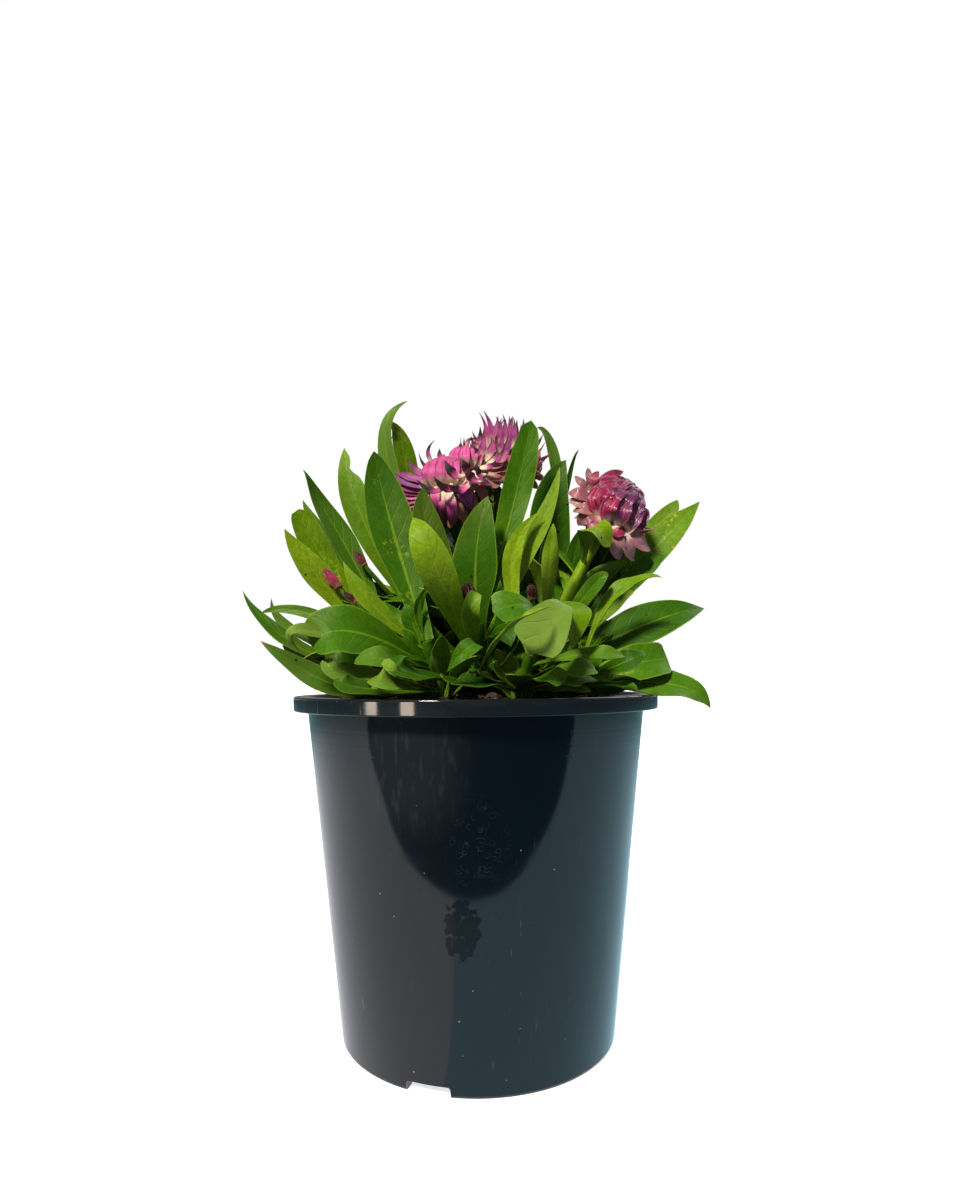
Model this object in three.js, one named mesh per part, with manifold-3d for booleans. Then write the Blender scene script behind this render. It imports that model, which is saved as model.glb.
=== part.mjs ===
// A young strawflower plant in a round nursery pot: twelve leafy stems in potting mix,
// a crested double bloom, a closed bloom and six buds.
// Millimetres, +Z up. The origin is on the pot's axis, on the surface that it stands on,
// and -Y is the front.
import * as THREE from "three";
import { mergeVertices } from "three/addons/utils/BufferGeometryUtils.js";
import Module from "manifold-3d";

const wasm = await Module();
wasm.setup();

// Pot
const POT = {
  rimRadius: 70, height: 133.3, rimDepth: 5.4, rimLip: 1.2, rimRound: 0.7,
  neckRadius: 65.1, footRadius: 54.1, wall: 1.2, sides: 48,
  footRing: 5, footRound: 0.8, plateUnderside: 4.2, plate: 1.2,
  notches: 3, notchWidth: 16, notchHeight: 3.8, firstNotchAngle: 251.4,
  drainHoles: 6, drainRadius: 4, drainCircle: 34,
};

// Potting mix: a low mound that starts just under the rim
const MIX = { edgeHeight: 129, moundHeight: 4.5, roughness: 0.5, rings: 5, sides: 24, chips: 8 };
const CLEARANCE = 0.3;
const SLIVER = 0.01;

// Stems
const STEM = { radius: 2.3, sides: 6, steps: 5, rootDepth: 15, soilHeight: 134 };
const STALK = { radius: 0.9, sides: 4, steps: 3 };

// Leaf blades: how far along each station lies, and the share of the full width there
// (a ridged form has a midrib on its upper face too, and its sides are folded up)
const LEAF = {
  stations: [0, 0.16, 0.38, 0.6, 0.82], widths: [0.2, 0.28, 0.76, 1, 0.72],
  thickness: 1, fold: 0.22, ridged: true,
};
const BUSH_LEAF = {
  stations: [0, 0.2, 0.5, 0.8], widths: [0.2, 0.34, 1, 0.76],
  thickness: 1, fold: 0.1, ridged: false,
};
const BRACT = {
  stations: [0, 0.4, 0.75], widths: [0.62, 1, 0.72],
  thickness: 0.8, fold: 0.1, ridged: false,
};

// The depth direction: a leaf that would cross another slides along the line of sight
const EYE = { distance: 290, height: 140 };
const DEPTH_STEPS = [0, 2, -2, 4, -4, 6, -6, 9, -9, 12, -12, 16, -16, 20];
const TURN_STEPS = [0, 9, -9, 18, -18, 27, -27, 38, -38];

// Each stem's foot on the ground plan, its bend and its top
const STEMS = {
  far_left: { foot: [-27, -9], bend: [-29, -12, 142], top: [-31, -14, 154] },
  left: { foot: [-17, 5], bend: [-19, 5, 146], top: [-22, 4, 162] },
  front_left: { foot: [-13, -24], bend: [-15, -27, 142], top: [-17, -31, 153] },
  tall_left: { foot: [-6, 7], bend: [-5, 9, 172], top: [-7, 3, 214] },
  centre: { foot: [1, -13], bend: [1, -16, 146], top: [2, -20, 160] },
  front: { foot: [15, -31], bend: [17, -36, 140], top: [19, -42, 148] },
  right: { foot: [28, 6], bend: [33, 6, 146], top: [38, 5, 160] },
  tall_right: { foot: [19, -10], bend: [29, -10, 160], top: [50, -7.4, 198] },
  far_right: { foot: [31, -18], bend: [36, -21, 138], top: [40, -24, 148] },
  back_left: { foot: [-20, 27], bend: [-24, 31, 146], top: [-28, 34, 160] },
  back: { foot: [3, 30], bend: [3, 35, 146], top: [3, 38, 162] },
  back_right: { foot: [26, 27], bend: [30, 31, 146], top: [34, 34, 160] },
};

// Leaves that show from the front: name, stem, how far up the stem, tip, middle, width,
// and the bearing and rise in degrees of the way the upper face looks (0, 0 is the front)
const LEAVES = [
  ["sickle", "tall_left", 0.45, [-27, 8, 250], [-34, 6, 224], 8, -40, 10],
  ["olive_behind", "back_left", 0.9, [-32, 22, 245], [-26, 26, 222], 11, 15, 10],
  ["pale_edge", "left", 1, [-31, 14, 238], [-32, 12, 218], 4, -30, 10],
  ["big_dark", "front_left", 1, [-36, -20, 222], [-31, -20, 194], 15, 10, 15],
  ["notched", "left", 0.95, [-52, 2, 230], [-45, -3, 199], 12, -10, 15],
  ["grey_back", "far_left", 1, [-66, -8, 217], [-50, -8, 192], 10, 15, 35],
  ["grey_bit", "back_left", 0.6, [-69, 10, 212], [-55, 12, 188], 9, 20, 35],
  ["olive_round", "far_left", 0.85, [-64, -18, 202], [-54, -16, 181], 10, 10, 35],
  ["yellow_left", "far_left", 0.7, [-67, -28, 193], [-55, -24, 175], 10, 0, 35],
  ["olive_small", "left", 0.45, [-68, 2, 185], [-55, -2, 172], 7, 0, 45],
  ["wedge", "front_left", 0.8, [-45, -36, 180], [-35, -37, 165], 7, 0, 35],
  ["long_arm", "far_left", 0.35, [-90, -4, 176], [-67, -12, 152], 7, -10, 55],
  ["under_arm", "far_left", 0.2, [-75, -4, 153], [-58, -8, 145], 6, 0, 45],
  ["flat_left", "left", 0.3, [-89, 16, 168], [-63, 12, 167], 7, 0, 40],
  ["thin_left", "back_left", 0.3, [-88, 30, 175], [-72, 26, 157], 6, 0, 50],
  ["olive_low", "left", 0.2, [-69, 2, 160], [-52, 0, 155], 7, 0, 40],
  ["round", "front_left", 0.5, [-54, -48, 151], [-39, -46, 155], 16, -5, 35],
  ["curled_tip", "far_left", 0.1, [-73, -30, 150], [-50, -30, 139], 6, 0, 40],
  ["pale_fold", "front_left", 0.3, [-49, -42, 145], [-37, -44, 141], 7, 0, 35],
  ["flat_top", "front_left", 0.25, [-38, -56, 146], [-25, -54, 145], 9, 0, 45],
  ["holed", "front_left", 0.1, [-32, -60, 143], [-23, -58, 138], 6, 0, 35],
  ["pale_rim", "centre", 0.2, [-27, -62, 146], [-16, -56, 144], 9, 0, 50],
  ["tiny_left", "front_left", 0.1, [-33, -58, 137], [-26, -52, 137], 4, 0, 40],
  ["bitten", "centre", 0.1, [2, -68, 150], [-2, -62, 144], 5, 20, 40],
  ["bright", "centre", 0.3, [-21, -46, 194], [-11, -46, 172], 14, -10, 15],
  ["thin_hook", "front_left", 0.95, [-16, -32, 172], [-20, -31, 163], 3.5, 20, 20],
  ["grey_tip", "centre", 0.9, [-18, -24, 208], [-14, -24, 184], 10, 20, 20],
  ["centre_dark", "centre", 0.85, [5, -26, 204], [2, -26, 181], 14, -15, 15],
  ["tall_blade", "centre", 1, [22, -13, 235], [14, -17, 200], 11, -5, 10],
  ["light_fold", "front", 0.9, [23, -38, 196], [14, -37, 181], 6, 10, 25],
  ["grey_narrow", "front", 1, [30, -32, 210], [23, -33, 189], 5, 20, 20],
  ["dark_wide", "right", 0.75, [36, 0, 224], [31, 1, 198], 14, 0, 15],
  ["arc", "right", 0.95, [26, 14, 241], [34, 14, 222], 7, 30, 10],
  ["thin_spike", "back_right", 0.8, [44, 20, 234], [38, 24, 212], 4, 20, 10],
  ["light_curl", "tall_right", 0.3, [28, -22, 192], [27, -23, 178], 6, 0, 25],
  ["beside_stem", "right", 0.6, [42, -2, 197], [38, -1, 181], 7, 10, 20],
  ["hooked", "tall_right", 0.85, [52, -18, 184], [47, -14, 189], 9, 0, 60],
  ["behind_hook", "right", 0.5, [59, 0, 185], [50, -2, 173], 12, 10, 35],
  ["upper_right", "right", 0.85, [90, 6, 209], [69, 2, 188], 14, 0, 30],
  ["upper_back", "back_right", 0.9, [86, 24, 214], [70, 22, 194], 10, 0, 30],
  ["below_upper", "right", 0.4, [72, -6, 186], [59, -8, 175], 9, 0, 35],
  ["hook_tip", "far_right", 0.95, [67, -26, 175], [51, -27, 173], 5, 0, 50],
  ["pale_under", "right", 0.25, [60, -10, 172], [51, -10, 165], 6, 0, 40],
  ["olive_tip", "tall_right", 0.2, [47, -30, 176], [39, -27, 168], 6, 20, 35],
  ["long_right", "tall_right", 0.1, [88, -8, 166], [64, -14, 158], 12, 0, 30],
  ["blunt", "far_right", 0.6, [70, -24, 147], [55, -28, 144], 12, 0, 30],
  ["low_right", "far_right", 0.15, [84, -28, 128], [68, -28, 137], 9, 0, 35],
  ["dark_right", "far_right", 0.3, [57, -42, 148], [47, -42, 143], 9, 0, 40],
  ["thin_right", "front", 0.7, [48, -54, 146], [36, -54, 147], 6, 0, 35],
  ["cut_tip", "front", 0.35, [38, -58, 142], [29, -56, 142], 7, 0, 35],
  ["arched", "front", 0.95, [29, -61, 149], [27, -53, 163], 13, 40, 50],
  ["turned", "front", 0.75, [24, -71, 147], [19, -62, 157], 15, 20, 60],
  ["squared", "front", 0.9, [5, -66, 158], [13, -60, 162], 12, -10, 40],
  ["edge_on", "centre", 0.25, [21, -75, 161], [10, -68, 156], 4, 0, 60],
  ["rim_round", "front", 0.2, [27, -66, 138], [22, -58, 140], 8, 0, 35],
  ["rim_small", "front", 0.1, [33, -62, 137], [26, -54, 138], 5, 0, 40],
  ["rim_low", "front", 0.1, [37, -56, 135], [29, -49, 136], 4, 0, 40],
  ["dry_small", "far_right", 0.1, [54, -46, 135], [47, -39, 137], 4, 0, 45],
  ["cup", "centre", 0.15, [-2, -44, 168], [0, -42, 161], 7, 10, 25],
];

// The other leaves, placed by rule: how many on each stem, over which bearings in
// degrees (90 is the back), and their shortest and longest length
const BUSH = [
  { stem: "back_left", count: 11, from: 60, to: 225, short: 54, long: 76 },
  { stem: "back", count: 12, from: 20, to: 160, short: 46, long: 70 },
  { stem: "back_right", count: 11, from: -30, to: 120, short: 54, long: 74 },
  { stem: "left", count: 5, from: 110, to: 210, short: 50, long: 66 },
  { stem: "right", count: 5, from: -30, to: 90, short: 45, long: 60 },
  { stem: "far_left", count: 4, from: 160, to: 260, short: 40, long: 55 },
  { stem: "far_right", count: 4, from: -90, to: 10, short: 35, long: 48 },
  { stem: "tall_left", count: 5, from: 40, to: 200, short: 40, long: 58 },
  { stem: "tall_right", count: 3, from: -30, to: 120, short: 35, long: 48 },
  { stem: "centre", count: 5, from: 20, to: 340, short: 40, long: 52 },
  { stem: "front_left", count: 3, from: 200, to: 300, short: 35, long: 45 },
  { stem: "front", count: 3, from: 250, to: 340, short: 35, long: 42 },
];
const BUSH_WIDTH = { least: 10, most: 17 };
const BUSH_RISE = { lowest: 8, highest: 72, lean: 1.3 };
const REACH = { x: 85, y: 78, z: 238 };
const SEED = 42;

// Blooms: each lobe is a core with rows of bracts round an axis. A row gives its number
// of bracts, the angle from the axis at which they stand, the angle of their first
// direction and how far it turns by the tip, their length and their width. A crest of
// the given radius joins two lobes
const BLOOMS = {
  bloom_crested: {
    stem: "tall_left", crest: 5.5,
    lobes: [
      {
        centre: [-10, 0, 217], axis: [-0.1, -0.35, 0.93], core: [8, 8, 8.5],
        rows: [
          { count: 4, from: 28, lean: 8, turn: -50, length: 9, width: 6 },
          { count: 7, from: 58, lean: 12, turn: -45, length: 13, width: 6.5 },
          { count: 7, from: 84, lean: 62, turn: -95, length: 11, width: 3.6 },
          { count: 9, from: 100, lean: 100, turn: -30, length: 16, width: 4 },
          { count: 10, from: 114, lean: 135, turn: 20, length: 14, width: 5 },
        ],
      },
      {
        centre: [13, 8, 227], axis: [0.1, 0.35, 0.93], core: [12, 8, 8],
        rows: [
          { count: 6, from: 25, lean: 4, turn: -18, length: 15, width: 3.4 },
          { count: 9, from: 52, lean: 16, turn: -32, length: 17, width: 3.6 },
          { count: 11, from: 80, lean: 48, turn: -42, length: 15, width: 3.8 },
          { count: 11, from: 105, lean: 92, turn: -20, length: 12, width: 4.4 },
          { count: 7, from: 130, lean: 130, turn: 10, length: 9, width: 5 },
        ],
      },
    ],
  },
  bloom_closed: {
    stem: "tall_right",
    lobes: [
      {
        centre: [54.5, -8, 204.5], axis: [0.62, -0.3, 0.72], core: [10, 10, 9],
        rows: [
          { count: 4, from: 25, lean: 0, turn: -65, length: 8, width: 6 },
          { count: 7, from: 55, lean: 14, turn: -65, length: 12, width: 7.5 },
          { count: 8, from: 85, lean: 28, turn: -60, length: 15, width: 7.5 },
          { count: 9, from: 106, lean: 100, turn: -45, length: 11, width: 4 },
          { count: 10, from: 124, lean: 132, turn: 15, length: 12, width: 5 },
        ],
      },
    ],
  },
};

// Buds: the stem and the place on it that the stalk leaves, the bud's base, axis and size
const BUDS = {
  bud_pink: {
    stem: "far_left", up: 0.9, base: [-49, -24, 171],
    axis: [-0.5, -0.1, 0.85], length: 10, width: 5,
  },
  bud_slim: {
    stem: "far_left", up: 0.6, base: [-42, -27, 166],
    axis: [-0.8, -0.1, 0.57], length: 7, width: 2.6,
  },
  bud_magenta: {
    stem: "left", up: 0.9, base: [-41, -13, 181],
    axis: [-0.6, 0, 0.8], length: 8, width: 3.4,
  },
  bud_maroon: {
    stem: "centre", up: 0.75, base: [-3, -34, 162],
    axis: [-0.1, 0, 1], length: 11.5, width: 6,
  },
  bud_dark: {
    stem: "tall_right", up: 0.35, base: [21, -20, 168],
    axis: [-0.1, 0, 1], length: 7, width: 3.6,
  },
  bud_side: {
    stem: "tall_right", up: 0.4, base: [40, -21, 166],
    axis: [0.6, 0, 0.8], length: 9, width: 3.4,
  },
};

const COLOURS = {
  pot: [0x14181c, 0.3], mix: [0x3a2c20, 0.95], leaf: [0x3f6a14, 0.5],
  crested: [0xb8407c, 0.6], closed: [0x8c3550, 0.6], bud: [0x74213c, 0.6],
};

// A small repeatable random source, so that each run grows the same plant
function makeRandom(seed) {
  let state = seed;
  return () => {
    state = (state * 16807) % 2147483647;
    return state / 2147483647;
  };
}

const vector = (triple) => new THREE.Vector3(...triple);
const radians = (degrees) => (degrees * Math.PI) / 180;
const mix = (a, b, t) => a + (b - a) * t;
const upward = new THREE.Vector3(0, 0, 1);
const turnTo = (axis) => new THREE.Quaternion().setFromUnitVectors(upward, axis);

function toSolid(geometry) {
  const bare = geometry.clone();
  bare.deleteAttribute("normal");
  bare.deleteAttribute("uv");
  const merged = mergeVertices(bare, 1e-4);
  const vertProperties = new Float32Array(merged.attributes.position.array);
  const triVerts = new Uint32Array(merged.index.array);
  return new wasm.Manifold(new wasm.Mesh({ numProp: 3, vertProperties, triVerts }));
}

function joined(solids) {
  return solids.reduce((whole, solid) => whole.add(solid));
}

// The largest of the bodies that a cut leaves: a loose scrap of a blade is dropped
function largestBody(solid) {
  return solid.decompose().reduce((a, b) => (a.volume() > b.volume() ? a : b));
}

// Slivers that the joins leave, shorter than the tolerance, are closed up
function toMesh(name, solid, [colour, roughness]) {
  const { vertProperties, triVerts } = solid.simplify(SLIVER).getMesh();
  const geometry = new THREE.BufferGeometry();
  geometry.setAttribute("position", new THREE.BufferAttribute(vertProperties, 3));
  geometry.setIndex(new THREE.BufferAttribute(triVerts, 1));
  geometry.computeVertexNormals();
  const material = new THREE.MeshStandardMaterial({ color: colour, roughness, metalness: 0 });
  const mesh = new THREE.Mesh(geometry, material);
  mesh.name = name;
  return mesh;
}

function closedSurface(points, faces) {
  const geometry = new THREE.BufferGeometry();
  geometry.setAttribute("position", new THREE.Float32BufferAttribute(points.flat(), 3));
  geometry.setIndex(faces.flat());
  return geometry;
}

// LatheGeometry turns about Y, so the profile is laid over to +Z
function lathe(profile, sides) {
  const points = profile.map(([r, z]) => new THREE.Vector2(r, z));
  return new THREE.LatheGeometry(points, sides).rotateX(Math.PI / 2);
}

function tube(curve, radius, sides, steps) {
  const section = new THREE.Shape(
    Array.from({ length: sides }, (_, i) => {
      const angle = (2 * Math.PI * i) / sides;
      return new THREE.Vector2(radius * Math.cos(angle), radius * Math.sin(angle));
    }),
  );
  return toSolid(new THREE.ExtrudeGeometry(section, { steps, extrudePath: curve, bevelEnabled: false }));
}

// A round stepless tube from one point to another
function rod(from, to, radius, sides) {
  return tube(new THREE.LineCurve3(from, to), radius, sides, 1);
}

function makePot() {
  const { rimRadius, height, rimDepth, rimLip, rimRound, neckRadius, footRadius, wall } = POT;
  const { footRing, footRound, plateUnderside, plate } = POT;
  const rimBottom = height - rimDepth;
  const flange = height - 2 * rimRound;
  const profile = [
    [0, plateUnderside], [footRadius - footRing - 1, plateUnderside], [footRadius - footRing, 0],
    [footRadius - footRound, 0], [footRadius, footRound],
    [neckRadius, flange], [rimRadius - rimLip, flange], [rimRadius - rimLip, rimBottom],
    [rimRadius, rimBottom], [rimRadius, height - rimRound], [rimRadius - rimRound, height],
    [neckRadius - wall + rimRound, height], [neckRadius - wall, height - rimRound],
    [footRadius - wall, plateUnderside + plate], [0, plateUnderside + plate],
  ];
  let pot = toSolid(lathe(profile, POT.sides));
  for (let i = 0; i < POT.notches; i += 1) {
    const angle = POT.firstNotchAngle + (360 / POT.notches) * i;
    const cutter = new THREE.BoxGeometry(3 * footRing, POT.notchWidth, 2 * POT.notchHeight);
    cutter.translate(footRadius - footRing / 2, 0, 0).rotateZ(radians(angle));
    pot = pot.subtract(toSolid(cutter));
  }
  for (let i = 0; i < POT.drainHoles; i += 1) {
    const angle = radians((360 / POT.drainHoles) * i);
    const x = POT.drainCircle * Math.cos(angle);
    const y = POT.drainCircle * Math.sin(angle);
    const from = new THREE.Vector3(x, y, plateUnderside - 1);
    const to = new THREE.Vector3(x, y, plateUnderside + plate + 1);
    pot = pot.subtract(rod(from, to, POT.drainRadius, 12));
  }
  return pot;
}

function mixHeight(x, y) {
  const share = Math.hypot(x, y) / (POT.neckRadius - POT.wall);
  const lumps = Math.sin(0.31 * x + 1) * Math.cos(0.27 * y) + Math.sin(0.17 * x - 0.23 * y);
  return MIX.edgeHeight + MIX.moundHeight * (1 - share * share) + MIX.roughness * lumps;
}

function potInnerRadius(z) {
  const low = POT.plateUnderside + POT.plate;
  const share = (z - low) / (POT.height - POT.rimRound - low);
  return mix(POT.footRadius, POT.neckRadius, share) - POT.wall;
}

// The mound's top is rings of points round a centre, closed by a side and a floor
function makeMix(random) {
  const floor = POT.plateUnderside + POT.plate + CLEARANCE;
  const topRadius = potInnerRadius(MIX.edgeHeight - 2) - CLEARANCE - 0.2;
  const floorRadius = potInnerRadius(floor) - CLEARANCE - 0.2;
  const points = [[0, 0, mixHeight(0, 0)]];
  for (let ring = 1; ring <= MIX.rings + 1; ring += 1) {
    const isFloor = ring > MIX.rings;
    const radius = isFloor ? floorRadius : (topRadius * ring) / MIX.rings;
    for (let i = 0; i < MIX.sides; i += 1) {
      const angle = (2 * Math.PI * i) / MIX.sides;
      const x = radius * Math.cos(angle);
      const y = radius * Math.sin(angle);
      points.push([x, y, isFloor ? floor : mixHeight(x, y)]);
    }
  }
  points.push([0, 0, floor]);
  const at = (ring, i) => 1 + (ring - 1) * MIX.sides + (i % MIX.sides);
  const faces = [];
  for (let i = 0; i < MIX.sides; i += 1) {
    faces.push([0, at(1, i), at(1, i + 1)]);
    for (let ring = 1; ring <= MIX.rings; ring += 1) {
      faces.push([at(ring, i), at(ring + 1, i), at(ring + 1, i + 1)]);
      faces.push([at(ring, i), at(ring + 1, i + 1), at(ring, i + 1)]);
    }
    faces.push([at(MIX.rings + 1, i + 1), at(MIX.rings + 1, i), points.length - 1]);
  }
  const chips = Array.from({ length: MIX.chips }, () => makeChip(random));
  return joined([toSolid(closedSurface(points, faces)), ...chips]);
}

// A flake of bark half sunk in the mound, in the ring that the leaves leave in sight
function makeChip(random) {
  const angle = 2 * Math.PI * random();
  const radius = mix(44, 56, random());
  const x = radius * Math.cos(angle);
  const y = radius * Math.sin(angle);
  const chip = new THREE.BoxGeometry(mix(4, 8, random()), mix(3, 5, random()), 2.4);
  chip.rotateX(mix(-0.35, 0.35, random())).rotateZ(Math.PI * random());
  return toSolid(chip.translate(x, y, mixHeight(x, y)));
}

// A blade along a curve: at each station its left, right and under corners, and a ridge
// corner where the form has one, and then the tip. The diagonals lean the same way on
// both faces, so that the blade stays whole where it twists
function blade(form, root, middle, tip, width, face, extra = 0) {
  const control = middle.clone().multiplyScalar(2);
  control.sub(root.clone().add(tip).multiplyScalar(0.5));
  const curve = new THREE.QuadraticBezierCurve3(root, control, tip);
  const halfThick = (form.thickness + extra) / 2;
  const points = [];
  form.stations.forEach((along, i) => {
    const place = curve.getPoint(along);
    const ahead = curve.getTangent(along);
    const up = face.clone().addScaledVector(ahead, -face.dot(ahead)).normalize();
    const side = new THREE.Vector3().crossVectors(ahead, up);
    const half = (width * form.widths[i] + extra) / 2;
    const lift = form.fold * half;
    const corner = (across, over) => place.clone().addScaledVector(side, across).addScaledVector(up, over);
    points.push(corner(-half, lift), corner(half, lift), corner(0, -halfThick));
    if (form.ridged) {
      points.push(corner(0, halfThick));
    }
  });
  const last = points.length;
  points.push(tip);
  const corners = form.ridged ? 4 : 3;
  const upper = form.ridged ? [0, 3, 1] : [0, 1];
  const lower = [0, 2, 1];
  const faces = form.ridged ? [[0, 2, 3], [2, 1, 3]] : [[0, 2, 1]];
  const addStrip = (from, chain, isUpper) => {
    for (let i = 0; i + 1 < chain.length; i += 1) {
      const [a, b] = [from + chain[i], from + chain[i + 1]];
      const isEnd = from + corners === last;
      const strip = isEnd ? [[a, b, last]] : [[a, b, b + corners], [a, b + corners, a + corners]];
      faces.push(...(isUpper ? strip : strip.map(([p, q, r]) => [p, r, q])));
    }
  };
  for (let from = 0; from < last; from += corners) {
    addStrip(from, upper, true);
    addStrip(from, lower, false);
  }
  return toSolid(closedSurface(points.map((point) => point.toArray()), faces));
}

// A direction from its bearing and rise: 0, 0 looks to the front, along -Y
function facing(bearing, rise) {
  const [b, r] = [radians(bearing), radians(rise)];
  return new THREE.Vector3(Math.sin(b) * Math.cos(r), -Math.cos(b) * Math.cos(r), Math.sin(r));
}

function stemCurve({ foot, bend, top }) {
  return new THREE.QuadraticBezierCurve3(vector([...foot, STEM.soilHeight]), vector(bend), vector(top));
}

// The stem with its straight foot in the soil, widened and lengthened by extra
function makeStem(plan, extra = 0) {
  const curve = stemCurve(plan);
  const [start, end] = [curve.getPoint(0), curve.getPoint(1)];
  const lower = start.clone().addScaledVector(curve.getTangent(0), -STEM.rootDepth - extra);
  const upper = end.clone().addScaledVector(curve.getTangent(1), extra);
  const path = new THREE.CurvePath();
  path.add(new THREE.LineCurve3(lower, start));
  path.add(new THREE.QuadraticBezierCurve3(start, vector(plan.bend), upper));
  return tube(path, STEM.radius + extra, STEM.sides, STEM.steps);
}

function ellipsoid(centre, axis, [a, b, c]) {
  const geometry = new THREE.IcosahedronGeometry(1, 1).scale(a, b, c);
  const turn = turnTo(axis);
  return toSolid(geometry.applyQuaternion(turn).translate(centre.x, centre.y, centre.z));
}

// One bract: it starts inside the core and turns from its first direction to its last
function makeBract(lobe, row, bearing, random) {
  const turn = turnTo(lobe.axis);
  const polar = (angle, scale = [1, 1, 1]) => {
    const out = Math.sin(radians(angle));
    return new THREE.Vector3(
      scale[0] * out * Math.cos(bearing),
      scale[1] * out * Math.sin(bearing),
      scale[2] * Math.cos(radians(angle)),
    ).applyQuaternion(turn);
  };
  const sway = mix(-6, 6, random());
  const length = row.length * mix(0.9, 1.1, random());
  const root = lobe.centre.clone().add(polar(row.from, lobe.core).multiplyScalar(0.8));
  const bendPoint = root.clone().addScaledVector(polar(row.lean + sway), length * 0.5);
  const tip = bendPoint.clone().addScaledVector(polar(row.lean + row.turn + sway), length * 0.55);
  const middle = root.clone().add(tip).multiplyScalar(0.25).addScaledVector(bendPoint, 0.5);
  const face = polar(row.lean + row.turn / 2 - 90);
  return blade(BRACT, root, middle, tip, row.width, face);
}

function makeBloom(bloom, random) {
  const pieces = [];
  for (const plan of bloom.lobes) {
    const lobe = { ...plan, centre: vector(plan.centre), axis: vector(plan.axis).normalize() };
    pieces.push(ellipsoid(lobe.centre, lobe.axis, lobe.core));
    lobe.rows.forEach((row, level) => {
      for (let i = 0; i < row.count; i += 1) {
        const bearing = (2 * Math.PI * (i + 0.5 * (level % 2) + mix(-0.12, 0.12, random()))) / row.count;
        pieces.push(makeBract(lobe, row, bearing, random));
      }
    });
  }
  const centres = bloom.lobes.map((plan) => vector(plan.centre));
  for (let i = 1; i < centres.length; i += 1) {
    pieces.push(rod(centres[i - 1], centres[i], bloom.crest, 8));
  }
  return largestBody(joined(pieces).subtract(makeStem(STEMS[bloom.stem], CLEARANCE)));
}

function makeBud({ base, axis, length, width }) {
  const half = width / 2;
  const profile = [
    [0, 0], [0.55 * half, 0], [half, 0.3 * length], [0.7 * half, 0.7 * length], [0, length],
  ];
  const turn = turnTo(vector(axis).normalize());
  return toSolid(lathe(profile, 8).applyQuaternion(turn).translate(...base));
}

// The stalk stops short of its bud's base by the clearance
function makeStalk({ stem, up, base, axis }) {
  const from = stemCurve(STEMS[stem]).getPoint(up);
  const to = vector(base).addScaledVector(vector(axis).normalize(), -CLEARANCE);
  const before = to.clone().addScaledVector(vector(axis).normalize(), -4);
  return tube(new THREE.QuadraticBezierCurve3(from, before, to), STALK.radius, STALK.sides, STALK.steps);
}

function slidInDepth(point, step) {
  const away = new THREE.Vector3(point.x / EYE.distance, 1, (point.z - EYE.height) / EYE.distance);
  return point.clone().addScaledVector(away, step);
}

// The forms that a chosen leaf may take: as listed, or slid a little along the line of sight
function chosenForms([name, stem, up, tip, middle, width, bearing, rise]) {
  const root = stemCurve(STEMS[stem]).getPoint(up);
  const face = facing(bearing, rise);
  return DEPTH_STEPS.map((step) => ({
    form: LEAF, name, stem, root, width, face,
    middle: slidInDepth(vector(middle), step * 0.7),
    tip: slidInDepth(vector(tip), step),
  }));
}

// The forms that a leaf of the bush may take: one length and rise, at several bearings
function bushForms(plan, index, random) {
  const share = (index + 0.5) / plan.count;
  const bearing = mix(plan.from, plan.to, share) + mix(-6, 6, random());
  const riseShare = ((index * 0.618 + random() * 0.2) % 1) ** BUSH_RISE.lean;
  const rise = mix(BUSH_RISE.lowest, BUSH_RISE.highest, riseShare);
  const length = mix(plan.short, plan.long, random());
  const width = mix(BUSH_WIDTH.least, BUSH_WIDTH.most, random());
  const up = mix(0.25, 0.95, ((index * 0.382) % 1));
  const arch = mix(0.06, 0.16, random());
  const root = stemCurve(STEMS[plan.stem]).getPoint(up);
  return TURN_STEPS.map((turnStep) => {
    const [b, r] = [radians(bearing + turnStep), radians(rise)];
    const out = new THREE.Vector3(Math.cos(b), Math.sin(b), 0);
    const tip = root.clone().addScaledVector(out, length * Math.cos(r));
    tip.addScaledVector(upward, length * Math.sin(r));
    const over = Math.max(Math.hypot(tip.x / REACH.x, tip.y / REACH.y), 1);
    tip.set(tip.x / over, tip.y / over, Math.min(tip.z, REACH.z));
    const face = out.clone().multiplyScalar(-Math.sin(r)).addScaledVector(upward, Math.cos(r));
    const middle = root.clone().add(tip).multiplyScalar(0.5).addScaledVector(face, arch * length);
    const name = `${plan.stem}_${index + 1}`;
    return { form: BUSH_LEAF, name, stem: plan.stem, root, middle, tip, width, face };
  });
}

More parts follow.
